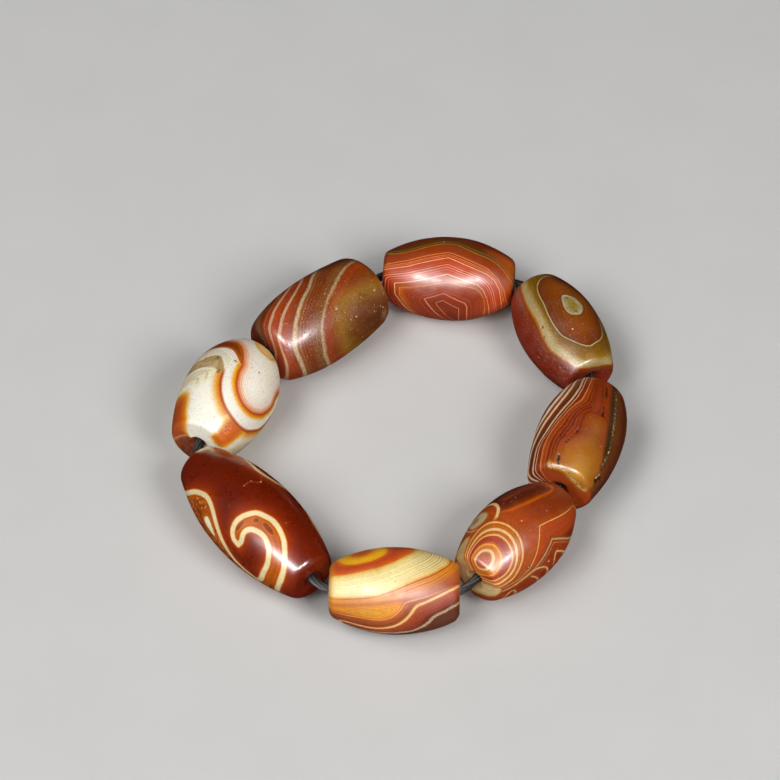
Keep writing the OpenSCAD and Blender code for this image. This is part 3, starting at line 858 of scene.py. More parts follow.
bead.dress(
    "line_agate", ORANGE,
    ramp_coat("bands", 0.1, (0, "#7c401c"), (0.9, "#6e3216"), (1, "#deba98"), (1.2, "#92542c"),
              (1.8, "#783a1c"), (1.9, "#fee4c8"), (2.12, "#fadaba"), (2.3, "#965830"), (2.75, "#723418"),
              (2.85, "#fee0c2"), (3.1, "#f6d0ae"), (3.22, "#80401e"), (3.8, "#541a0a"), (3.92, pale_line),
              (4.06, pale_line), (4.3, "#58180a"), (4.8, "#6e220a"), (4.92, pale_line), (5.04, "#e0aa7e"),
              (5.16, "#882c0c"), (5.85, "#8c2e0c"), (5.95, "#da986e"), (6.03, "#c47446"), (6.12, "#9e3c0e"),
              (6.9, "#98360a"), (8, "#92360a"), (9.6, "#642c08"), (14, "#542206")),
    line_coat("bands", 0.08, 5, (1.2, 1.85), "#96684c", 0.5),
    line_coat("bands", 0.08, 5, (2.3, 3.8), "#966446", 0.45),
    line_coat("bands", 0.1, 4, (6.1, 6.7), "#cc7846", 0.5),
    line_coat("bands", 0.3, 5.5, (6.15, 7.5), "#461004", 0.9, 0.5, 0.45),
    ramp_coat("window", 0.8, (-3.4, "#9c5c22"), (-1.8, "#964e1a", 0.95), (-0.5, "#924010", 0.9),
              (-0.1, "#6c2408", 0.8), (0.12, RED_ORANGE, 0)),
    ramp_coat("slope", 1.2, (0, "#c69042", 0.95), (4, "#ae702a", 0.75), (8, AMBER, 0)),
    # Brown below the seam, darker further down as painted shade
    ramp_coat("below", 0.6, (-0.6, BROWN, 0), (0.2, "#763a0c", 0.9), (3, "#602605")),
    ramp_coat("end", 1, (-1, "#a8461a"), (-0.2, "#a44014", 0.95), (0.2, ORANGE, 0)),
    ramp_coat("crust", 2.4, (0, "#e4cea0", 0.9), (0.35, "#cea86a", 0.7), (1.1, AMBER, 0)),
    speck_coat(0.2, 0.55, "#96602c", 0.7, "crust", (1, 0.5)),
    ramp_coat("dark", 0.6, (-1.4, "#3a220a"), (-0.5, "#4a2a0a", 0.95), (0.5, BROWN, 0)),
    ramp_coat("seam", 0.5, (0, "#64502e", 0.8), (0.3, "#4a3616", 0.8), (0.8, "#3c240a", 0)),
    speck_coat(0.2, 0.57, "#b09e76", 0.7, "seam", (0.5, 0.1)),
    speck_coat(0.12, 0.58, "#301c0c", 0.7, "seam", (0.7, 0.3)),
    ramp_coat("marks", 0.5, (0, "#32160a", 0.9), (0.1, "#3a1808", 0.8), (0.24, BROWN, 0)),
    speck_coat(0.1, 0.78, "#d6aa78", 0.6),
    PITS, GRAINS, growth=("bands", 5, 0.12, 0.5, 7.4), pitted=0.35)

# %% [markdown]
# ## Ring bead
# A bull's-eye of cream rings fills the left end, a second eye stands above it, half covered by the big
# rings, and crystal bands zigzag along the near side. Coats go on in that order too: the second eye
# first, then the rings.

# %% Ring bead
bead = Bead("ring_bead")
bead.rings(
    "rings", 3,
    [(-10.8, -0.8), (-9.6, -0.2), (-8.95, 1.3), (-9.3, 2.8), (-10.4, 3.8), (-12, 3.6), (-13, 1.4),
     (-12.2, -0.4)],
    [(-10.9, -1.9), (-9.1, -1.2), (-8.1, 0.5), (-8, 2), (-8.5, 4), (-9.5, 5.4), (-11.5, 6.2), (-14, 4.5),
     (-14.6, 1), (-13, -1.6)],
    [(-11.5, -2.9), (-9.5, -2.9), (-7.5, -1.9), (-6.2, 0), (-5.9, 1.5), (-6.1, 3.5), (-7, 5.7), (-8.5, 7.3),
     (-10.5, 8.1), (-14, 7), (-16, 1), (-14, -2.6)],
    [(-11.7, -3.6), (-9.5, -3.7), (-7, -2.8), (-5.5, -1), (-4.9, 1), (-5, 3), (-5.8, 5.2), (-7.5, 7.6),
     (-9.5, 9), (-12, 9.4), (-16, 7), (-18, 1), (-15, -3.4)],
    [(-12, -4.4), (-9, -4.7), (-6.6, -4.2), (-5, -3.2), (-4.1, -1.8), (-3.6, 0), (-3.5, 1.8), (-3.7, 3.4),
     (-4.4, 5.2), (-5.8, 7.3), (-7.7, 9.2), (-9.4, 10.3), (-12, 10.6), (-18, 8), (-20, 1), (-16, -4.4)])
bead.rings(
    "eye", 2,
    [(-4.7, -6.2), (-4, -6.6), (-3.9, -7.4), (-4.6, -7.9), (-5.4, -7.6), (-5.5, -6.7)],
    [(-6.3, -5.5), (-5.6, -4.6), (-4.3, -4.3), (-3, -4.8), (-2.5, -6), (-2.6, -7.4), (-3.5, -8.4),
     (-5, -8.7), (-6.2, -7.8), (-6.6, -6.6)],
    [(-0.2, -7.4), (0, -5.8), (-0.6, -4.2), (-1.6, -3), (-3, -2.3), (-4.4, -2.3), (-5.6, -3.2),
     (-6.5, -4.5), (-7, -6), (-6.9, -8), (-5.6, -9.8), (-3.5, -10.4), (-1.3, -9.4)])
# This field grows from left to right, and is 0 at 8 mm from the bead's left end
bead.keep("side", bead.s - bead.s.min() - 8)
bead.outline("patch", [
    (-15, -9.5), (-11, -9.2), (-9.4, -8.3), (-8.2, -6.5), (-8.6, -5.4), (-10, -4.9), (-15, -4.8)])
shade_edge = [(-1.6, -2.2), (-0.5, -1.2), (1.2, -0.5), (3, 0.1), (5, 0.5), (8, 0.9), (9.5, 0.4), (10, -1),
              (9.9, -4)]
bead.lines("glow", shade_edge)
bead.outline("shade", shade_edge + [(10, -9), (7, -12), (0, -12.5), (-3, -10), (-2.4, -5)])
bead.lines("streaks", [(1.2, -5.7), (3.5, -5.1), (6, -4.4), (8.2, -3.5)],
           [(1, -4.3), (3, -3.8), (5.5, -3.4), (7.2, -2.8)])
bead.border("crystal", [
    (-16, 11), (-7, 10.6), (-4, 9), (-2, 7.3), (0.3, 5), (0.6, 4.7), (1, 4.75), (3, 5.3), (6, 6.3),
    (10.6, 8), (11.2, 9.5), (12.5, 12), (16, 14)])
bead.border("ridge", [
    (-16, 12), (-9, 11.3), (-5, 10.9), (-3, 10.3), (-1, 9.4), (0.9, 8.45), (1.3, 8.2), (1.6, 8.4), (2.5, 9),
    (4, 10.3), (5.5, 11.8), (8, 14), (16, 18)])
bead.lines("curls",
           [(-12, 12.8), (-9.5, 12.4), (-7, 11.6), (-5, 11.1), (-4, 11.1), (-2.5, 11.8), (-1.6, 12.8),
            (-1.1, 14.3), (-1, 17)],
           [(0.4, 14), (0.6, 12.2), (1.3, 11.1), (2.2, 11.8), (3.2, 12.9), (5, 15.5)],
           [(-10.2, 17.5), (-9.7, 14.7), (-8.9, 13.9), (-8.2, 15), (-7.7, 17.5)],
           [(-5.2, 12.2), (-4, 13.6), (-3.2, 15.5), (-3, 18)])
bead.outline("chip", [
    (-14.6, 11), (-11.4, 10.8), (-10.9, 12.2), (-11.4, 13.6), (-12.2, 16), (-12.8, 19), (-13.1, 22),
    (-12.8, 26), (-12.6, 30), (-12.4, 34), (-12, 38), (-12.2, 41), (-15.4, 41), (-15.3, 34), (-15.1, 26),
    (-15.3, 18), (-15.4, 14)])
bead.dots("pits", (-5.3, 9.7, 0.25), (10, 1.5, 0.1), (9.9, 2.6, 0))
bead.dots("grains", (-5.3, 9.7, 0.1), (-1.2, 1.8, 0.08), (2.5, -2.7, 0.05), (0.1, -3.5, 0.05),
          (4, 3.6, 0.05), (-1, 11.5, 0.15), (-2.4, 2.7, 0), (6.6, 4, 0))
bead.dent((-5.3, 9.7, 0.2))
gold, sand = "#ecc692", "#e4b07a"
bead.dress(
    "ring_agate", "#983e12",
    ramp_coat("side", 1.5, (0, "#b04e1a", 0.9), (6, "#a84412", 0.9), (10, "#8e340a")),
    ramp_coat("shade", 1.2, (-5, "#4e1a04"), (-1.8, "#5a1e06", 0.95), (-0.6, "#7e300c", 0.8),
              (0.4, BROWN, 0)),
    ramp_coat("glow", 0.5, (0, "#d26822", 0.9), (0.15, "#c65c1c", 0.8), (0.55, ORANGE, 0)),
    ramp_coat("streaks", 0.8, (0, "#a03e1a", 0.8), (0.25, "#843012", 0.6), (0.7, BROWN, 0)),
    ramp_coat("crystal", 0.2, (-1.6, ORANGE, 0), (-0.16, "#b05820", 0.6), (-0.05, "#e6ac76"),
              (0.04, "#e6ac76"), (0.16, "#b24612", 0.95), (3, "#b0420e", 0.95), (5, RED_BROWN)),
    ramp_coat("ridge", 0.2, (-0.9, BROWN, 0), (-0.25, "#96421a", 0.9), (-0.12, "#ba9c70"),
              (0.08, "#ba9c70"), (0.22, "#a03a0e"), (0.5, "#9e380c"), (0.62, "#be8c60"), (0.76, "#9e360c"),
              (3, "#9c340a")),
    ramp_coat("curls", 0.2, (0, "#f0cc9c"), (0.1, "#e2b47e", 0.9), (0.26, "#aa501c", 0.6), (1, BROWN, 0)),
    ramp_coat("patch", 0.4, (-1.6, "#ac9868"), (-0.5, "#c2aa7c"), (0, "#be8c54"), (0.35, "#964616", 0.9),
              (1, BROWN, 0)),
    ramp_coat("eye", 0.12, (0, "#967a42"), (0.7, "#a08854"), (1.15, "#c4b08c"), (1.85, "#c4ac86"),
              (2, "#b07034"), (2.1, "#b04c0e"), (2.72, "#a8420c"), (2.8, gold), (3, gold), (3.1, BROWN, 0)),
    ramp_coat("rings", 0.1, (0, "#ac543c"), (0.72, "#b25c3a"), (0.9, gold), (1.08, gold), (1.25, "#ca6e28"),
              (1.86, "#ce7832"), (1.95, "#e8aa60"), (2.04, "#e8aa60"), (2.14, "#c4642c"), (2.4, "#9c3620"),
              (2.86, "#aa4628"), (2.94, sand), (3.05, gold), (3.2, "#be682e"), (3.72, "#b85c24"),
              (3.84, gold), (4.12, gold), (4.25, "#be6828"), (4.8, "#b0561a"), (4.88, gold),
              (5.03, "#e09e5c"), (5.1, "#a04414", 0.9), (5.5, ORANGE, 0)),
    line_coat("rings", 0.06, 5, (2.2, 2.9), "#c4603e", 0.5),
    line_coat("rings", 0.06, 4, (3.1, 4.9), "#e29c5a", 0.4),
    ramp_coat("chip", 0.5, (-1, "#e0c898"), (-0.2, "#ccac78"), (0.05, "#9c683c", 0.9), (0.35, BROWN, 0)),
    line_coat("chip", 0.5, 2.6, (-1.7, -0.1), "#b07a3e", 0.8, 0.44, 0.4),
    speck_coat(0.1, 0.77, "#e6aa78", 0.6),
    PITS, GRAINS, growth=("crystal", 2.2, 0.12, -9, 6), pitted=0.2)

# %% [markdown]
# ## Cream bead
# A broad cream band sweeps down from right to left under a yellow lobe with an orange heart. Below it
# thin orange bands crowd together, and a pale ribbon and a rough grey-cream one cross the red-brown lower
# side.

# %% Cream bead
bead = Bead("cream_bead")
bead.rings(
    "bands", 2,
    [(-8.3, -4.5), (-7.5, -3.2), (-6.3, -2.6), (-4.8, -3), (-4, -4.2), (-4.3, -5.5), (-5.5, -6.5),
     (-7.2, -6.5), (-8.2, -5.6)],
    [(-10.6, -5), (-10, -3), (-9.2, -1.6), (-7.8, -0.8), (-6, -0.6), (-4.3, -0.9), (-2.7, -1.7), (-1.6, -3),
     (-1.6, -4.5), (-2.5, -6.2), (-4, -7.6), (-7, -8), (-9.5, -7.2)],
    [(-15, 0.6), (-12, 1.1), (-9, 1.6), (-7, 1.5), (-4, 1), (-1.5, 0.2), (0.5, -0.9), (2, -2.3), (3, -4),
     (3.3, -5.5), (3, -7.5), (1, -9.5), (-3, -10.8), (-8, -11), (-15, -9), (-18, -4)],
    [(-16, 8.9), (-12, 8.1), (-8, 7.2), (-4, 6.5), (-2, 5.8), (1, 4.6), (4, 3.1), (6, 2), (7.5, 0.7),
     (8.6, -0.8), (9.4, -2.8), (9.6, -5.5), (9.3, -8), (7, -11.5), (2, -14), (-6, -15), (-14, -14),
     (-20, -2)],
    [(-16, 11.5), (-10, 9.4), (-6, 8.2), (0, 6.9), (4, 5.7), (7, 4.3), (9, 2.4), (10.4, 0), (11.2, -3),
     (11.5, -7), (9.5, -12), (4, -16.5), (-6, -18), (-16, -17), (-24, -2)])
# This field is the map's own s, for what changes from left to right
bead.keep("east", bead.s)
bead.outline("lobe", [
    (-15, 10.4), (-10.8, 9.8), (-6.8, 8.4), (-1.8, 7.6), (0.4, 7.3), (1.9, 7.5), (0.8, 9.2), (-0.4, 10.2),
    (-1.8, 10.9), (-3.4, 11.3), (-6.8, 11.1), (-9.3, 11), (-15, 12)])
bead.border("under", [
    (-16, 13), (-9, 11.9), (-6, 11.4), (-3, 11.4), (-1, 10.8), (0.4, 9.8), (1.4, 8.6), (2.1, 7.5), (4, 6.9),
    (8, 5.4), (16, 0)])
bead.outline("peak", [(-16, 8.2), (-8, 7), (-2, 6), (2, 5), (1, 6.6), (-2, 7.4), (-6, 8.2), (-16, 10.4)])
bead.border("ribbon", [
    (-16, 19), (-10, 17.2), (-9.7, 15.4), (-8.8, 14.4), (-7, 14), (-5, 13.9), (-3, 13.6), (-1, 12.9),
    (0.5, 12), (2, 10.6), (3, 9.2), (3.8, 8), (6, 7), (8, 5.9), (10, 4.5), (11.5, 3.2), (16, 1)])
bead.border("crust", [
    (-16, 20), (-6, 16.5), (-2, 15.5), (0, 15), (3, 14.3), (4.5, 13.5), (6, 12), (6.8, 10.9), (8.5, 10),
    (10, 9.2), (11.5, 8.6), (16, 8)])
bead.dots("pits", (-3.2, 6, 0), (0, 3.4, 0.02), (-8, 1.9, 0), (-6.5, 2.3, 0), (2, 4.1, 0))
butter, straw = "#f6e4a8", "#e8c474"
bead.dress(
    "cream_agate", "#9a3816",
    ramp_coat("bands", 0.1, (0, "#cc5410"), (0.7, "#da6814"), (1.05, "#f4a02a"), (1.5, "#ffc642"),
              (1.88, "#ffb638"), (2.03, "#de6620"), (2.3, "#be4412"), (2.8, "#d85a20"), (2.96, "#dc7a3c"),
              (3.04, straw), (3.3, butter), (3.8, butter), (3.94, "#ecc474"), (4.02, "#e09648"),
              (4.2, "#e6a046"), (4.5, "#da8e38"), (4.8, "#cc7624"), (5, "#b65e22"), (5.3, "#ac582c"),
              (5.9, "#a8461c"), (6.6, "#9e3614"), (9, "#8c2c0e")),
    line_coat("bands", 0.04, 20, (3.25, 3.95), "#ba8846", 0.6, 0.36),
    line_coat("bands", 0.05, 13, (3.1, 3.95), "#b06a1e", 0.8, 0.4, 0.3, ("east", 0, 7)),
    ramp_coat("east", 1, (-13, "#ce782a", 0.8), (-11.4, "#dc9c4c", 0.5), (-10.4, CREAM, 0)),
    crisp_coat("bands", 0.05, (4.03, 0.035, "#c85014", 1), (4.22, 0.02, "#ce682c", 0.7),
               (4.42, 0.028, "#c44e18", 0.9), (4.66, 0.02, "#c85e24", 0.8), (4.88, 0.02, "#c0501c", 0.6)),
    ramp_coat("under", 0.5, (-0.5, ORANGE, 0), (0.4, "#b0602c", 0.7), (2.2, "#84381c", 0.95)),
    ramp_coat("lobe", 0.5, (-1.2, "#f0b042"), (-0.5, "#eca242"), (0, "#e29248", 0.7), (0.5, "#de965a", 0)),
    line_coat("lobe", 0.5, 3.4, (-1.6, -0.1), "#c85c14", 0.9, 0.44, 0.5),
    ramp_coat("peak", 0.6, (-1.4, "#e2a460", 0.95), (-0.5, "#dc944e", 0.8), (0.4, ORANGE, 0)),
    line_coat("under", 0.5, 2.8, (-2.7, -0.2), "#c45c1e", 0.85, 0.36, 0.5),
    ramp_coat("under", 0.25, (-0.62, ORANGE, 0), (-0.5, "#d06832", 0.8), (-0.38, "#eaa46c", 0.8),
              (-0.2, "#e29664", 0.9), (-0.06, "#b04822"), (0.12, BROWN, 0)),
    ramp_coat("ribbon", 0.2, (-1.2, RED_BROWN, 0), (-0.5, "#aa461e", 0.7), (-0.3, "#d08c50", 0.9),
              (-0.16, "#f4cc92"), (0.16, "#f0c082"), (0.36, "#b04c20"), (1.4, "#aa3c14", 0.95),
              (3, "#7e2c14")),
    line_coat("ribbon", 0.15, 1.6, (0.5, 3), "#ce6e3c", 0.4, 0.25),
    ramp_coat("crust", 0.7, (-0.6, BROWN, 0), (-0.32, "#a07656"), (0, "#ccb08e"), (0.3, "#ac8666"),
              (0.5, "#6e3822"), (3, "#703a26")),
    speck_coat(0.16, 0.56, "#e2ceb0", 0.7, "crust", (-0.5, -0.15), (0.25, 0.45)),
    speck_coat(0.14, 0.77, "#ce883c", 0.5),
    PITS, growth=("bands", 11, 0.07, 3, 9), rough=(0.44, 0.58), coat=(0, 0.15))

# %% [markdown]
# ## Etched bead
# The long bead is the one that gives the bracelet its name: a dark red-brown agate whose cream lines were
# drawn with lye and fired, so that they sit in the skin with a soft orange edge. The lines are strokes of
# one width, so the field is the distance to the nearest stroke. Inside the hook and under the wave the
# stone stayed amber.

# %% Etched bead
bead = Bead("etched_bead")
hook_out = smooth([
    (4.3, 9.2), (3, 8.9), (2, 7.8), (1.65, 6.3), (1.9, 4.8), (2.7, 3.2), (3.5, 2.2), (4.8, 1.6),
    (6.5, 1.05), (8.5, 1.2), (10.5, 2), (12, 3.4), (13, 4.9), (13.9, 7), (14.2, 9.3), (14.1, 11.5),
    (13.7, 14), (13, 16.8), (11.8, 19.2), (9, 21.4), (5, 22.8), (0, 23.6), (-5, 23.4), (-10, 22.6),
    (-13.6, 20.6)])
hook_in = smooth([
    (4.3, 9.2), (4.6, 8.2), (4.3, 7.2), (4.2, 6.2), (4.8, 5.2), (6, 4.6), (7.3, 4.4), (8.7, 4.8),
    (9.9, 5.8), (10.7, 7.4), (11, 9), (10.8, 11), (10.5, 12.8), (10.1, 14.2), (9.3, 15.2)])
wave = smooth([
    (9.3, 15.2), (7.5, 14.8), (5.5, 14.2), (3.5, 13.3), (1.5, 11.9), (0, 10.8), (-2, 9.3), (-4, 7.9),
    (-5.5, 7.2), (-7, 7), (-8.5, 7.5), (-10, 8.5), (-11.3, 10), (-12.3, 11.6), (-13.2, 13.2), (-14.3, 15.5),
    (-14.8, 18), (-13.6, 20.6)])
far_ring = smooth([
    (-10, -7.8), (-9.2, -6.5), (-7.3, -5.7), (-5.3, -5.1), (-3.5, -5.4), (-2, -6), (-0.8, -6.9), (0, -8),
    (0.6, -10.5), (-0.6, -13), (-3.5, -14.8), (-7, -14.6), (-9.4, -12.6), (-10.4, -10.2)], closed=True)
second_ring = smooth([
    (5, -12), (6.4, -9.6), (9, -8.8), (11.6, -10), (12.6, -12.6), (11.4, -15.2), (8.8, -16.2),
    (6.2, -14.8)], closed=True)
strokes = [
    hook_out,
    hook_in,
    wave,
    np.vstack([far_ring, far_ring[:1]]),
    np.vstack([second_ring, second_ring[:1]])]
bead.lines("etching", *strokes, draw=list)
bead.keep("hook", bead.edge_of(np.vstack([hook_out, wave[::-1], hook_in[::-1]])))
# The amber reaches back along the hook by this many of its drawn points
amber_reach = 60
bead.keep("amber", bead.edge_of(np.vstack([wave, hook_out[::-1][:amber_reach], [(6, 20)]])))
bead.outline("lumps", [(3.8, 3.6), (4, 2.8), (4.7, 2.7), (5.1, 3.1), (4.8, 3.6), (4.2, 3.9)],
             [(5.6, 2.9), (5.9, 2.2), (7, 2.1), (8.3, 2.4), (8.7, 3), (7.6, 3.3), (6.5, 3.2)],
             [(2.2, 6.4), (2.4, 5.2), (3, 4.9), (3.2, 5.8), (2.9, 7.2), (2.4, 7.5)])
# The lens is a pale hollow in the stone, and its near-white middle is a painted highlight
bead.outline("lens", [
    (-5.5, 9.9), (-4.4, 9.3), (-3, 9.9), (-1.5, 11.2), (-0.8, 12.3), (-2.2, 12.6), (-4.4, 12.3),
    (-5.7, 11.3)])
bead.outline("tip", [
    (-22, -7.5), (-17, -6.8), (-16.2, -5.6), (-15.4, -4), (-14.3, -2.6), (-15.6, -1.9), (-16, 0.3),
    (-17.4, 1.6), (-22, 2)])
bead.outline("haze", [
    (-16, -9), (-12.5, -7.6), (-10, -6.2), (-6.5, -4.6), (-8.5, -4.1), (-11.5, -3.5), (-14, -2.7),
    (-16.5, -4)])
bead.lines("hairline", [
    (-3.4, -4.7), (-2.8, -3.8), (-1.9, -3), (-1.8, -2.3), (-2.4, -1.6), (-2.8, -0.7), (-2.7, 0.5)])
bead.dots("grains", (-8.7, 3.3, 0.02), (3.3, 11.4, 0.05), (8.2, -0.8, 0.05), (-1.8, -2.8, 0.12),
          (-2.9, -1.4, 0.08), (-2.7, 0.3, 0.05), (-9.9, 1, 0), (-5, 1.6, 0), (-1.6, 4.9, 0.02))
deep, lye = "#701c04", "#ecd8b2"
bead.dress(
    "etched_agate", deep,
    ramp_coat("haze", 1.2, (-1.4, "#a05432", 0.8), (-0.6, "#86381a", 0.5), (0.2, deep, 0)),
    ramp_coat("tip", 0.8, (-1.2, "#d8ccb0"), (-0.2, "#c4a87c"), (0.25, "#965028", 0.8), (0.9, deep, 0)),
    ramp_coat("etching", 0.6, (0, "#b04010"), (0.7, "#a4360a", 0.9), (1.8, "#8e2a06", 0.7), (4, deep, 0)),
    ramp_coat("amber", 0.7, (-3, "#9a441a"), (-1.6, "#c25622"), (-0.9, "#d2622c"), (-0.3, "#c05220"),
              (0.1, deep, 0)),
    ramp_coat("hook", 0.5, (-1.6, "#aa5428"), (-1, "#c0622c"), (-0.4, "#c4682e"), (0.1, deep, 0)),
    line_coat("hook", 0.5, 2.4, (-1.7, -0.4), "#d88a4e", 0.5, 0.4),
    ramp_coat("lumps", 0.5, (-0.5, "#843c1e"), (-0.15, "#964a26", 0.9), (0.06, "#d48a54", 0.6),
              (0.25, "#c0622c", 0)),
    speck_coat(0.5, 0.5, "#70260e", 0.65, "amber", (-0.5, -1.2)),
    speck_coat(0.3, 0.58, "#e89868", 0.7, "amber", (-0.5, -1.2)),
    # Painted highlight in the near-white middle of the lens, with the stone's orange rim round it
    ramp_coat("lens", 0.3, (-1, "#fff8de"), (-0.6, "#ffeec6"), (-0.4, "#c46030"), (-0.15, "#ce7430"),
              (0.1, "#bc6428", 0.8), (0.4, "#964218", 0)),
    ramp_coat("hairline", 0.25, (0, "#ce8c7a", 0.8), (0.1, PINK, 0.6), (0.26, deep, 0)),
    ramp_coat("etching", 0.14, (0, lye), (0.36, lye), (0.48, "#e4b86e"), (0.6, "#be6e28", 0.9),
              (0.74, "#9c3e10", 0.6), (0.95, "#8c2c08", 0)),
    speck_coat(0.1, 0.77, "#be6042", 0.5),
    GRAINS, cloud=0.14, rough=(0.26, 0.34), coat=(0.3, 0.05))

# %% [markdown]
# ## White bead
# Ivory agate with a round white lobe. Orange outlines it, crisp on one side and fading through yellow on
# the other, which is how iron stains creep into a porous layer. Each stain is a coat on its own outline.

# %% White bead
bead = Bead("white_bead")
bead.outline("lobe", [
    (6.3, -4), (6.3, -2), (5.5, -0.4), (4.2, 0.8), (2.5, 1.7), (1, 2.3), (-1, 2.5), (-2.8, 3), (-4.3, 4),
    (-5.4, 5.5), (-5.8, 7), (-5.6, 8.8), (-4.8, 10.3), (-3.6, 11.6), (-2, 12.4), (-0.3, 12.8), (1.3, 12.3),
    (2.3, 12.4), (3.5, 13.1), (4.7, 14.5), (5.5, 17), (8, 21), (14, 24), (20, 10), (18, -5), (12, -9),
    (7.5, -8)])
bead.outline("swirl", [
    (-1, -0.5), (-2.4, -0.1), (-4, 0.3), (-6, 1.3), (-7.5, 2.6), (-8.6, 4.5), (-9.1, 7), (-9, 9.3),
    (-8.2, 11.3), (-6.8, 13), (-4.8, 14.6), (-2.5, 15.4), (-0.5, 15.6), (2, 16.4), (4, 19.5), (8, 24),
    (16, 28), (24, 8), (20, -10), (9, -13), (3.5, -11), (2.2, -7), (1.9, -4), (1, -1.8)])
bead.outline("brown", [
    (3.4, -9), (3.5, -6), (3.8, -3), (3.5, -1), (2.3, 0.6), (0.8, 2.2), (2.5, 1.8), (4.3, 0.8), (5.6, -0.4),
    (6.3, -2), (6.5, -5), (6.5, -9)])
bead.outline("tan", [
    (-2.6, -9.5), (0, -9), (0.3, -6), (0.9, -4.5), (1.2, -2.4), (0.2, -1.4), (-1.4, -0.4), (-2.5, -0.3),
    (-2, -2), (-1.9, -5)])
bead.lines("thread", [(-4.2, -10), (-3.6, -7.5), (-3.2, -6), (-2.8, -4), (-2.6, -2.6)],
           [(-5.2, -10), (-4.4, -7.5), (-3.9, -5.6), (-3.3, -3.9), (-3.2, -3), (-4.4, -2.7)],
           [(-6, -10), (-5.1, -7.4), (-4.6, -5.8), (-4.6, -4.6), (-5.6, -4.2)])
bead.outline("rust", [
    (-20, -22), (-13.4, -20), (-9, -17.5), (-7, -13), (-6.8, -9), (-7, -6.5), (-7.8, -5.3), (-9, -4.8),
    (-11, -4.3), (-12.6, -3.5), (-13.6, -3.8), (-14.6, -4.9), (-15.6, -6.4), (-17, -8.2), (-22, -10)])
bead.outline("stain", [
    (-14.4, 5.7), (-12.9, 5.4), (-11, 5.5), (-9.4, 5.5), (-7.8, 6), (-7.4, 9), (-8.2, 11.2), (-10.5, 11.5),
    (-13, 11.3), (-14.6, 10.3), (-14.9, 8)])
bead.border("low", [(-20, 11.5), (-12, 12), (-9, 13), (-6, 15), (-2, 17), (14, 20)])
bead.lines("collar", [(-0.6, -0.8), (1, -1.8), (1.9, -4), (2.2, -7), (3.5, -11)])
bead.outline("mouth", [
    (-13.1, -31), (-12.9, -24), (-12.9, -18), (-13.5, -15.8), (-14.6, -13.8), (-15.6, -11.5), (-16.4, -9),
    (-19, -8), (-24, -12), (-25, -22), (-22, -31)])
bead.outline("scar", [(-11.9, 7.9), (-11.6, 6.6), (-10.6, 6.2), (-10, 7.1), (-10.5, 8.2), (-11.3, 8.6)])
bead.outline("honey", [
    (16, -0.6), (10, 1), (8.2, 2), (7, 3.3), (6.5, 5.5), (6.9, 7.3), (8.1, 8.9), (9.5, 10.7), (10.5, 13),
    (16, 16)])
pits = [(1.8, 5.8, 0.12), (-2.5, -1.1, 0.2), (-2, -1, 0.12), (1.1, 0.7, 0.15), (0.9, 1.1, 0.05),
        (0.4, 1.6, 0.05)]
specks = [(0.5, -5.4, 0.15), (0.6, -4.6, 0.1), (0.7, -3.9, 0.12), (0.3, -3.2, 0.1), (0.9, -2.9, 0.15),
          (0.6, -2.5, 0.12), (-0.2, -4.2, 0.05), (0.2, -5, 0.08), (1, -3.4, 0.08), (-0.6, -5.2, 0.05),
          (0.3, -2.6, 0.08), (-7.6, -2.7, 0), (5, 10.4, 0.05), (5.3, 11, 0), (-4, 7.5, 0), (6.2, 7.6, 0)]
bead.dots("pits", *pits, *specks)
bead.dent(*pits)
chalk, saffron = "#faf2e4", "#ecb254"
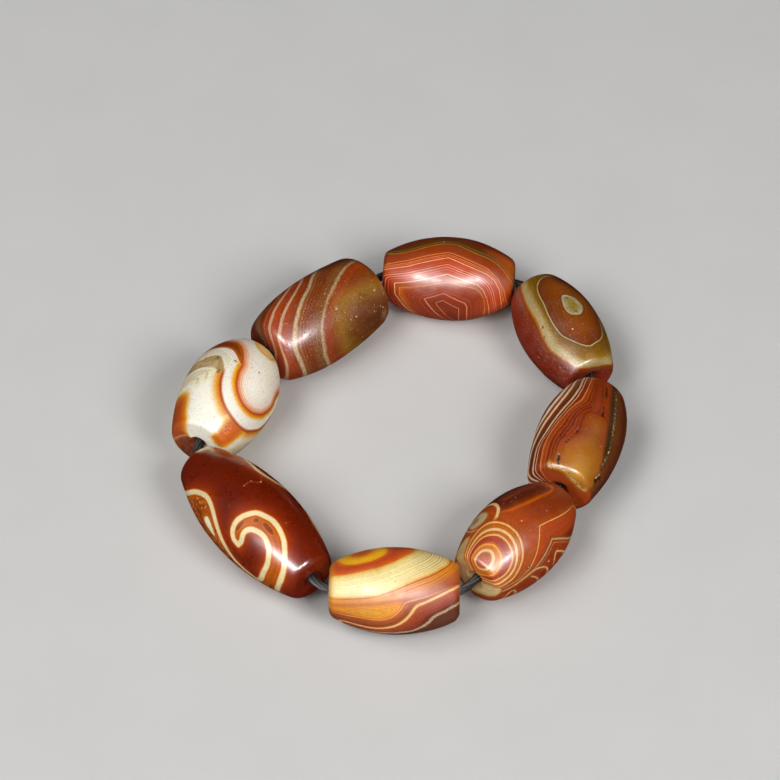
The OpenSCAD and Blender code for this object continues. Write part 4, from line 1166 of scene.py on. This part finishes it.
bead.dress(
    "white_agate", "#faf4e4",
    ramp_coat("low", 1, (-1, IVORY, 0), (1.5, "#deccaa", 0.8), (4, "#ceb894")),
    ramp_coat("rust", 0.7, (-3, "#b24c0e"), (-1.9, "#c65c12"), (-1, "#d67e20"), (-0.3, "#e8b658", 0.9),
              (0.8, "#f6e2b4", 0)),
    ramp_coat("mouth", 0.9, (-1.2, "#8c4a32"), (-0.5, "#96543a"), (0, "#b68060", 0.9), (0.4, chalk, 0)),
    speck_coat(0.3, 0.52, "#54281a", 0.6, "mouth", (0, -0.6)),
    ramp_coat("swirl", 0.25, (0, "#c8641c"), (0.6, "#e0922c", 0.95), (1.2, saffron, 0.8),
              (2.3, "#f4dca0", 0)),
    ramp_coat("stain", 0.8, (-2.6, "#d46c2e"), (-1.6, "#d06420"), (-0.9, "#d67e24"),
              (-0.3, "#e8a640", 0.95), (0.3, "#f4ce7c", 0.5), (0.9, chalk, 0)),
    ramp_coat("swirl", 0.25, (-0.5, chalk), (-0.2, "#d68c6c"), (0, "#a8421a"), (0.2, "#ba5418", 0.9),
              (0.5, "#de8e2c", 0)),
    ramp_coat("collar", 0.1, (0, "#f0e6d0"), (0.9, "#f0e6d0"), (1.5, chalk, 0)),
    ramp_coat("tan", 0.4, (-1.4, "#ba9e70"), (-0.4, "#b29464"), (-0.1, "#a08054", 0.9),
              (0.2, "#dcc8a4", 0)),
    speck_coat(0.45, 0.5, "#d4be96", 0.6, "tan", (0, -0.4)),
    ramp_coat("thread", 0.2, (0, "#d2b480", 0.8), (0.1, "#dcc492", 0.7), (0.35, "#f0e2b6", 0.6),
              (0.8, "#f4e8c4", 0.5), (1.3, chalk, 0)),
    line_coat("brown", 0.2, 2.2, (0.2, 2.6), "#c4a676", 0.55, 0.4, 0.5),
    ramp_coat("lobe", 0.25, (-6, "#fef6de", 0.95), (-2.6, "#fcf2e4", 0.9), (-1.4, "#fae4d0", 0.85),
              (-0.8, "#f2c6a6", 0.9), (-0.4, "#e89870", 0.95), (-0.12, "#cc5e22"), (0.08, "#c45610"),
              (0.35, "#e48c20"), (0.75, "#f2ba4e", 0.95), (1.4, "#f6e0a8", 0)),
    ramp_coat("brown", 0.4, (-1.1, "#8c360a"), (-0.6, "#9c4410"), (-0.25, "#bc6a26", 0.95),
              (0, "#da9a4e", 0.7), (0.3, chalk, 0)),
    crisp_coat("brown", 0.3, (-0.12, 0.1, "#ac3e14", 0.7)),
    crisp_coat("lobe", 0.25, (0, 0.07, "#b84618", 0.6)),
    speck_coat(0.2, 0.54, "#f8b086", 0.5, "scar", (0.3, -0.2)),
    speck_coat(0.16, 0.6, "#ac481c", 0.4, "scar", (0.3, -0.2)),
    crisp_coat("lobe", 0.2, (-0.95, 0.05, "#e29670", 0.6), (-0.6, 0.05, "#de8860", 0.6)),
    line_coat("lobe", 0.15, 2.4, (-3.2, -0.9), "#e8b89e", 0.35, 0.4),
    ramp_coat("honey", 0.5, (-2.5, "#fcdca0"), (-0.8, "#fad48e"), (-0.3, "#ecb450"), (0, "#ecbe64", 0.8),
              (0.5, chalk, 0)),
    line_coat("honey", 0.3, 1.6, (-3, -0.4), "#c4985c", 0.5, 0.4),
    speck_coat(0.12, 0.73, "#967054", 0.5),
    ramp_coat("pits", 0.06, (0, "#4a301c", 0.95), (0.05, "#5a3c22", 0.7), (0.15, BROWN, 0)),
    cloud=0.04, growth=("swirl", 3, 0.03, -9, 20))

# %% [markdown]
# ## Striped bead
# Cream stripes bend round an olive-amber heart at the right end. They were softer than the rest, so the
# polish left them finely pitted. The right half is clear and shows cloudy depth.

# %% Striped bead
bead = Bead("striped_bead")
bead.rings(
    "bands", 2,
    [(20, -5), (14, -3.2), (12, -2.6), (10, -2), (8, -1.2), (6.5, -0.5), (5, 0.3), (3.5, 1.1), (2, 1.9),
     (0.5, 2.8), (-1, 3.9), (-2.3, 5), (-3.4, 6.3), (-4.2, 8), (-4.7, 10), (-4.8, 12), (-4.4, 14),
     (-3.6, 16.3), (-2.5, 19), (-0.5, 22.5), (3, 26), (8, 29), (20, 31)],
    [(22, -14), (11, -11.8), (8, -9.6), (6, -7.8), (4, -5.6), (2, -3.8), (0, -2.1), (-2, -1), (-4, 0.1),
     (-6, 1.6), (-7.5, 3), (-8.8, 4.7), (-9.6, 6.5), (-9.9, 8.3), (-9.8, 10), (-9.6, 12), (-9.1, 14.5),
     (-8.3, 17.5), (-6.5, 21.5), (-3, 26), (2, 29.5), (8, 32), (22, 33.5)],
    [(24, -15.5), (9, -13), (5, -9.8), (3, -7.9), (1.5, -6.1), (0, -4.8), (-2, -3.4), (-4, -2.4),
     (-6, -1.5), (-8, -0.4), (-9.5, 0.9), (-10.7, 2.3), (-11.6, 4), (-12.4, 7), (-12.6, 12), (-12, 18),
     (-9.5, 24), (-4, 29.5), (2, 33), (24, 35)],
    [(26, -17), (7, -14), (2, -9.8), (-0.3, -7.6), (-1.3, -6.6), (-2.5, -5.7), (-4, -5), (-6, -4.2),
     (-8, -3.3), (-9.5, -2.3), (-11, -0.9), (-12.2, 0.8), (-14, 4), (-16, 12), (-14.5, 20), (-11, 27),
     (-5, 32), (2, 34.2), (26, 35.8)],
    [(26, -18), (5, -15), (-1, -10), (-3, -7.9), (-4, -6.6), (-5.5, -5.7), (-7, -5.1), (-9, -4.2),
     (-10.5, -3.3), (-12, -2.1), (-14.5, 0), (-18, 8), (-18, 20), (-12, 31), (0, 35.3), (26, 36.6)])
bead.outline("heart", [
    (2, 2.7), (6, 2.4), (10, 3.1), (13, 3.9), (20, 5.5), (20, 22), (8, 21), (1.2, 18), (-1.7, 14),
    (-2.2, 10), (-1.2, 5.6)])
# Painted shade: the upper right is darkened, where the lamps reach the stone less
bead.lines("painted_shade", [(13, -5), (8, -7.5), (2, -11)], draw=list)
bead.outline("cloud", [(9.4, 12.2), (10.4, 11.2), (11.4, 12), (11.5, 13.8), (10.6, 14.8), (9.5, 13.8)])
pits = [(0.8, 5, 0.12), (2.5, 8.2, 0.08), (3.8, 8.4, 0.12), (1.7, 10, 0.06), (10, 6.2, 0.12),
        (12, 8.2, 0.15), (10.4, 10.7, 0.12), (6.6, 5.8, 0.05), (8.1, 10.1, 0.08), (-8, 12.3, 0.05),
        (9.9, 10, 0.08), (4.3, 13.9, 0.1)]
bead.dots("grains", *pits)
bead.dent(*pits)
stripe, pink_stripe = "#c4ae8a", "#c4a084"
bead.dress(
    "striped_agate", BROWN,
    ramp_coat("bands", 0.12, (0, "#763e0e"), (0.6, "#804210"), (0.88, "#9c3c0c"), (0.975, "#8a320c"),
              (0.99, stripe), (1.03, stripe), (1.06, "#7a4c28"), (1.5, "#7c3816"), (1.74, "#803814"),
              (1.8, "#9e6842"), (1.86, "#843814"), (1.96, stripe), (2.05, stripe), (2.13, "#86340e"),
              (2.8, "#9e3c10"), (2.9, pink_stripe), (3.05, pink_stripe), (3.15, "#98360e"),
              (3.75, "#ac4210"), (3.86, pink_stripe), (4.08, pink_stripe), (4.25, "#98320e"),
              (4.8, "#9e3812"), (4.9, "#a87454"), (5.1, "#944628"), (5.4, "#6c2c12"), (6.2, "#7a5436"),
              (7.4, "#5c200e")),
    speck_coat(0.14, 0.5, "#805438", 0.45, "bands", (0.9, 0.99), (1.03, 1.08)),
    speck_coat(0.14, 0.5, "#8c5438", 0.45, "bands", (1.9, 1.96), (2.05, 2.1)),
    speck_coat(0.12, 0.6, "#b08e6a", 0.4, "bands", (1, 1.06), (1.2, 1.5)),
    line_coat("bands", 0.1, 9, (1.1, 1.95), "#b07e5c", 0.4, 0.4),
    line_coat("bands", 0.08, 6, (2.15, 2.9), "#bc6e40", 0.35),
    line_coat("bands", 0.08, 6, (3.15, 4.9), "#ba6a42", 0.35),
    ramp_coat("heart", 1.6, (-8, "#602e08", 0.95), (-4.8, "#764212", 0.9), (-2, "#986c2c", 0.95),
              (-0.6, "#9a5a1e", 0.7), (1.2, BROWN, 0)),
    # Painted shade over the upper right
    ramp_coat("painted_shade", 1, (0, "#3c1606", 0.9), (2.5, "#4c2008", 0.7), (5.5, BROWN, 0)),
    ramp_coat("cloud", 0.6, (-1, "#9c7c68", 0.6), (0, "#885a3c", 0.4), (0.7, BROWN, 0)),
    speck_coat(0.11, 0.75, "#d4b89c", 0.6),
    GRAINS, growth=("bands", 7, 0.12, 0.5, 9), pitted=0.6)

# %% [markdown]
# ## Elastic cord
# The string is a bundle of fine elastic strands with a slight twist. Its route is the one in the part's
# source: straight through each bore, and from one mouth to the next on a curve whose handles run on along
# the two bores. A wide belly and a thin end lie at different heights, so the route rises and falls a
# little. Each strand is a closed spline that winds round the route a whole number of times, and the
# curve's bevel gives it thickness. Twelve strands fill the outside, and one thick strand stands for those
# within.

# %% Elastic cord
# The beads clockwise from the far one, each with whether the cord runs through it to the viewer's right
TRAVEL = [("hexagon_bead", True), ("eye_bead", True), ("line_bead", False), ("ring_bead", False),
          ("cream_bead", False), ("etched_bead", False), ("white_bead", True), ("striped_bead", True)]
BEND_INSET = 1.3
BEND_HANDLE = 0.36
ROUTE_STEP = 0.45
OUTER_STRANDS = 12
STRAND_RADIUS = 0.165
BUNDLE_RADIUS = 0.62
CORE_RADIUS = 0.56
WHOLE_TWISTS = 15
STRAND_TONES = (0.1, 0.45, 0.2, 0.9, 0.3, 0.6)
STREAK_SCALE = 1500


def bore_line(node, to_right):
    """Where the cord enters a bore, where it leaves it, and the direction in which it runs."""
    enter, leave = flat_ends(node) if to_right else flat_ends(node)[::-1]
    along = (leave - enter).normalized()
    inset = BEND_INSET * MM * along
    return enter + inset, leave - inset, along


def cord_route():
    """Points about ROUTE_STEP apart all round the loop."""
    bores = [bore_line(node, to_right) for node, to_right in TRAVEL]
    points = []
    for (start, leave, along), (enter, _, along_next) in zip(bores, bores[1:] + bores[:1]):
        parts = round((leave - start).length / MM / ROUTE_STEP)
        points += [start.lerp(leave, part / parts) for part in range(parts)]
        span = (enter - leave).length
        grip = BEND_HANDLE * span
        parts = max(4, round(span / MM / ROUTE_STEP))
        bend = interpolate_bezier(leave, leave + grip * along, enter - grip * along_next, enter, parts + 1)
        points += bend[:-1]
    return points


def strand(curve, route, offset, start, radius):
    """Adds a closed spline that winds round the route at an offset from it."""
    count = len(route)
    spline = curve.splines.new("POLY")
    spline.points.add(count - 1)
    spline.use_cyclic_u = True
    for number, point in enumerate(spline.points):
        ahead = (route[(number + 1) % count] - route[number - 1]).normalized()
        across = Vector((0, 0, 1)).cross(ahead).normalized()
        angle = start + math.tau * WHOLE_TWISTS * number / count
        away = math.cos(angle) * across + math.sin(angle) * ahead.cross(across)
        point.co = (*(route[number] + offset * MM * away), 1)
        point.radius = radius


route = cord_route()
curve = bpy.data.curves.new("strands", "CURVE")
curve.dimensions = "3D"
curve.bevel_depth = MM
curve.bevel_resolution = 1
strand(curve, route, 0, 0, CORE_RADIUS)
for number in range(OUTER_STRANDS):
    strand(curve, route, BUNDLE_RADIUS, math.tau * number / OUTER_STRANDS, STRAND_RADIUS)
drawn = bpy.data.objects.new("strands", curve)
scene.collection.objects.link(drawn)
bpy.context.view_layer.update()
cord_mesh = bpy.data.meshes.new_from_object(drawn)
bpy.data.objects.remove(drawn)
cord_mesh.name = "cord_strands"
around = len(cord_mesh.vertices) // (len(route) * (OUTER_STRANDS + 1))
length = sum((here - there).length for here, there in zip(route, route[1:] + route[:1]))
print("cord points:", len(route), "length in mm:", round(length / MM, 1), "corners round a strand:", around)

# Every strand has its own tone, dark for most and paler for a few; the paler ones are painted sheen
tones = np.array([0] + [STRAND_TONES[number % len(STRAND_TONES)] for number in range(OUTER_STRANDS)])
cord_mesh.attributes.new("tone", "FLOAT", "POINT").data.foreach_set(
    "value", np.repeat(tones, len(route) * around).astype(np.float32))
cord_material, tree, shader = plain_material("elastic")
spot = add_node(tree, "TexCoord").outputs["Object"]
tone = add_node(tree, "Attribute", {"attribute_name": "tone"}).outputs["Fac"]
# Pale streaks along the strands, a painted highlight
streaks = add_node(tree, "TexNoise", Vector=spot, Scale=STREAK_SCALE, Detail=3)
mixed = add_node(tree, "Math", {"operation": "MULTIPLY_ADD"}, i0=streaks.outputs["Fac"], i1=0.5, i2=tone)
ramp = add_node(tree, "ValToRGB", Fac=mixed.outputs[0])
ramp.color_ramp.elements[0].color = tint("#0e0e0f")
ramp.color_ramp.elements[0].position = 0.5
ramp.color_ramp.elements[1].color = tint("#545250")
tree.links.new(ramp.outputs["Color"], shader.inputs["Base Color"])
shader.inputs["Roughness"].default_value = 0.42
shader.inputs["Specular IOR Level"].default_value = 0.4
cord_mesh.materials.append(cord_material)
cord_mesh.polygons.foreach_set("use_smooth", [True] * len(cord_mesh.polygons))
cord_piece = bpy.data.objects.new("cord_strands", cord_mesh)
scene.collection.objects.link(cord_piece)
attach(cord_piece, "root")
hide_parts("elastic_cord")
print(cord_piece.name, "faces:", len(cord_mesh.polygons))
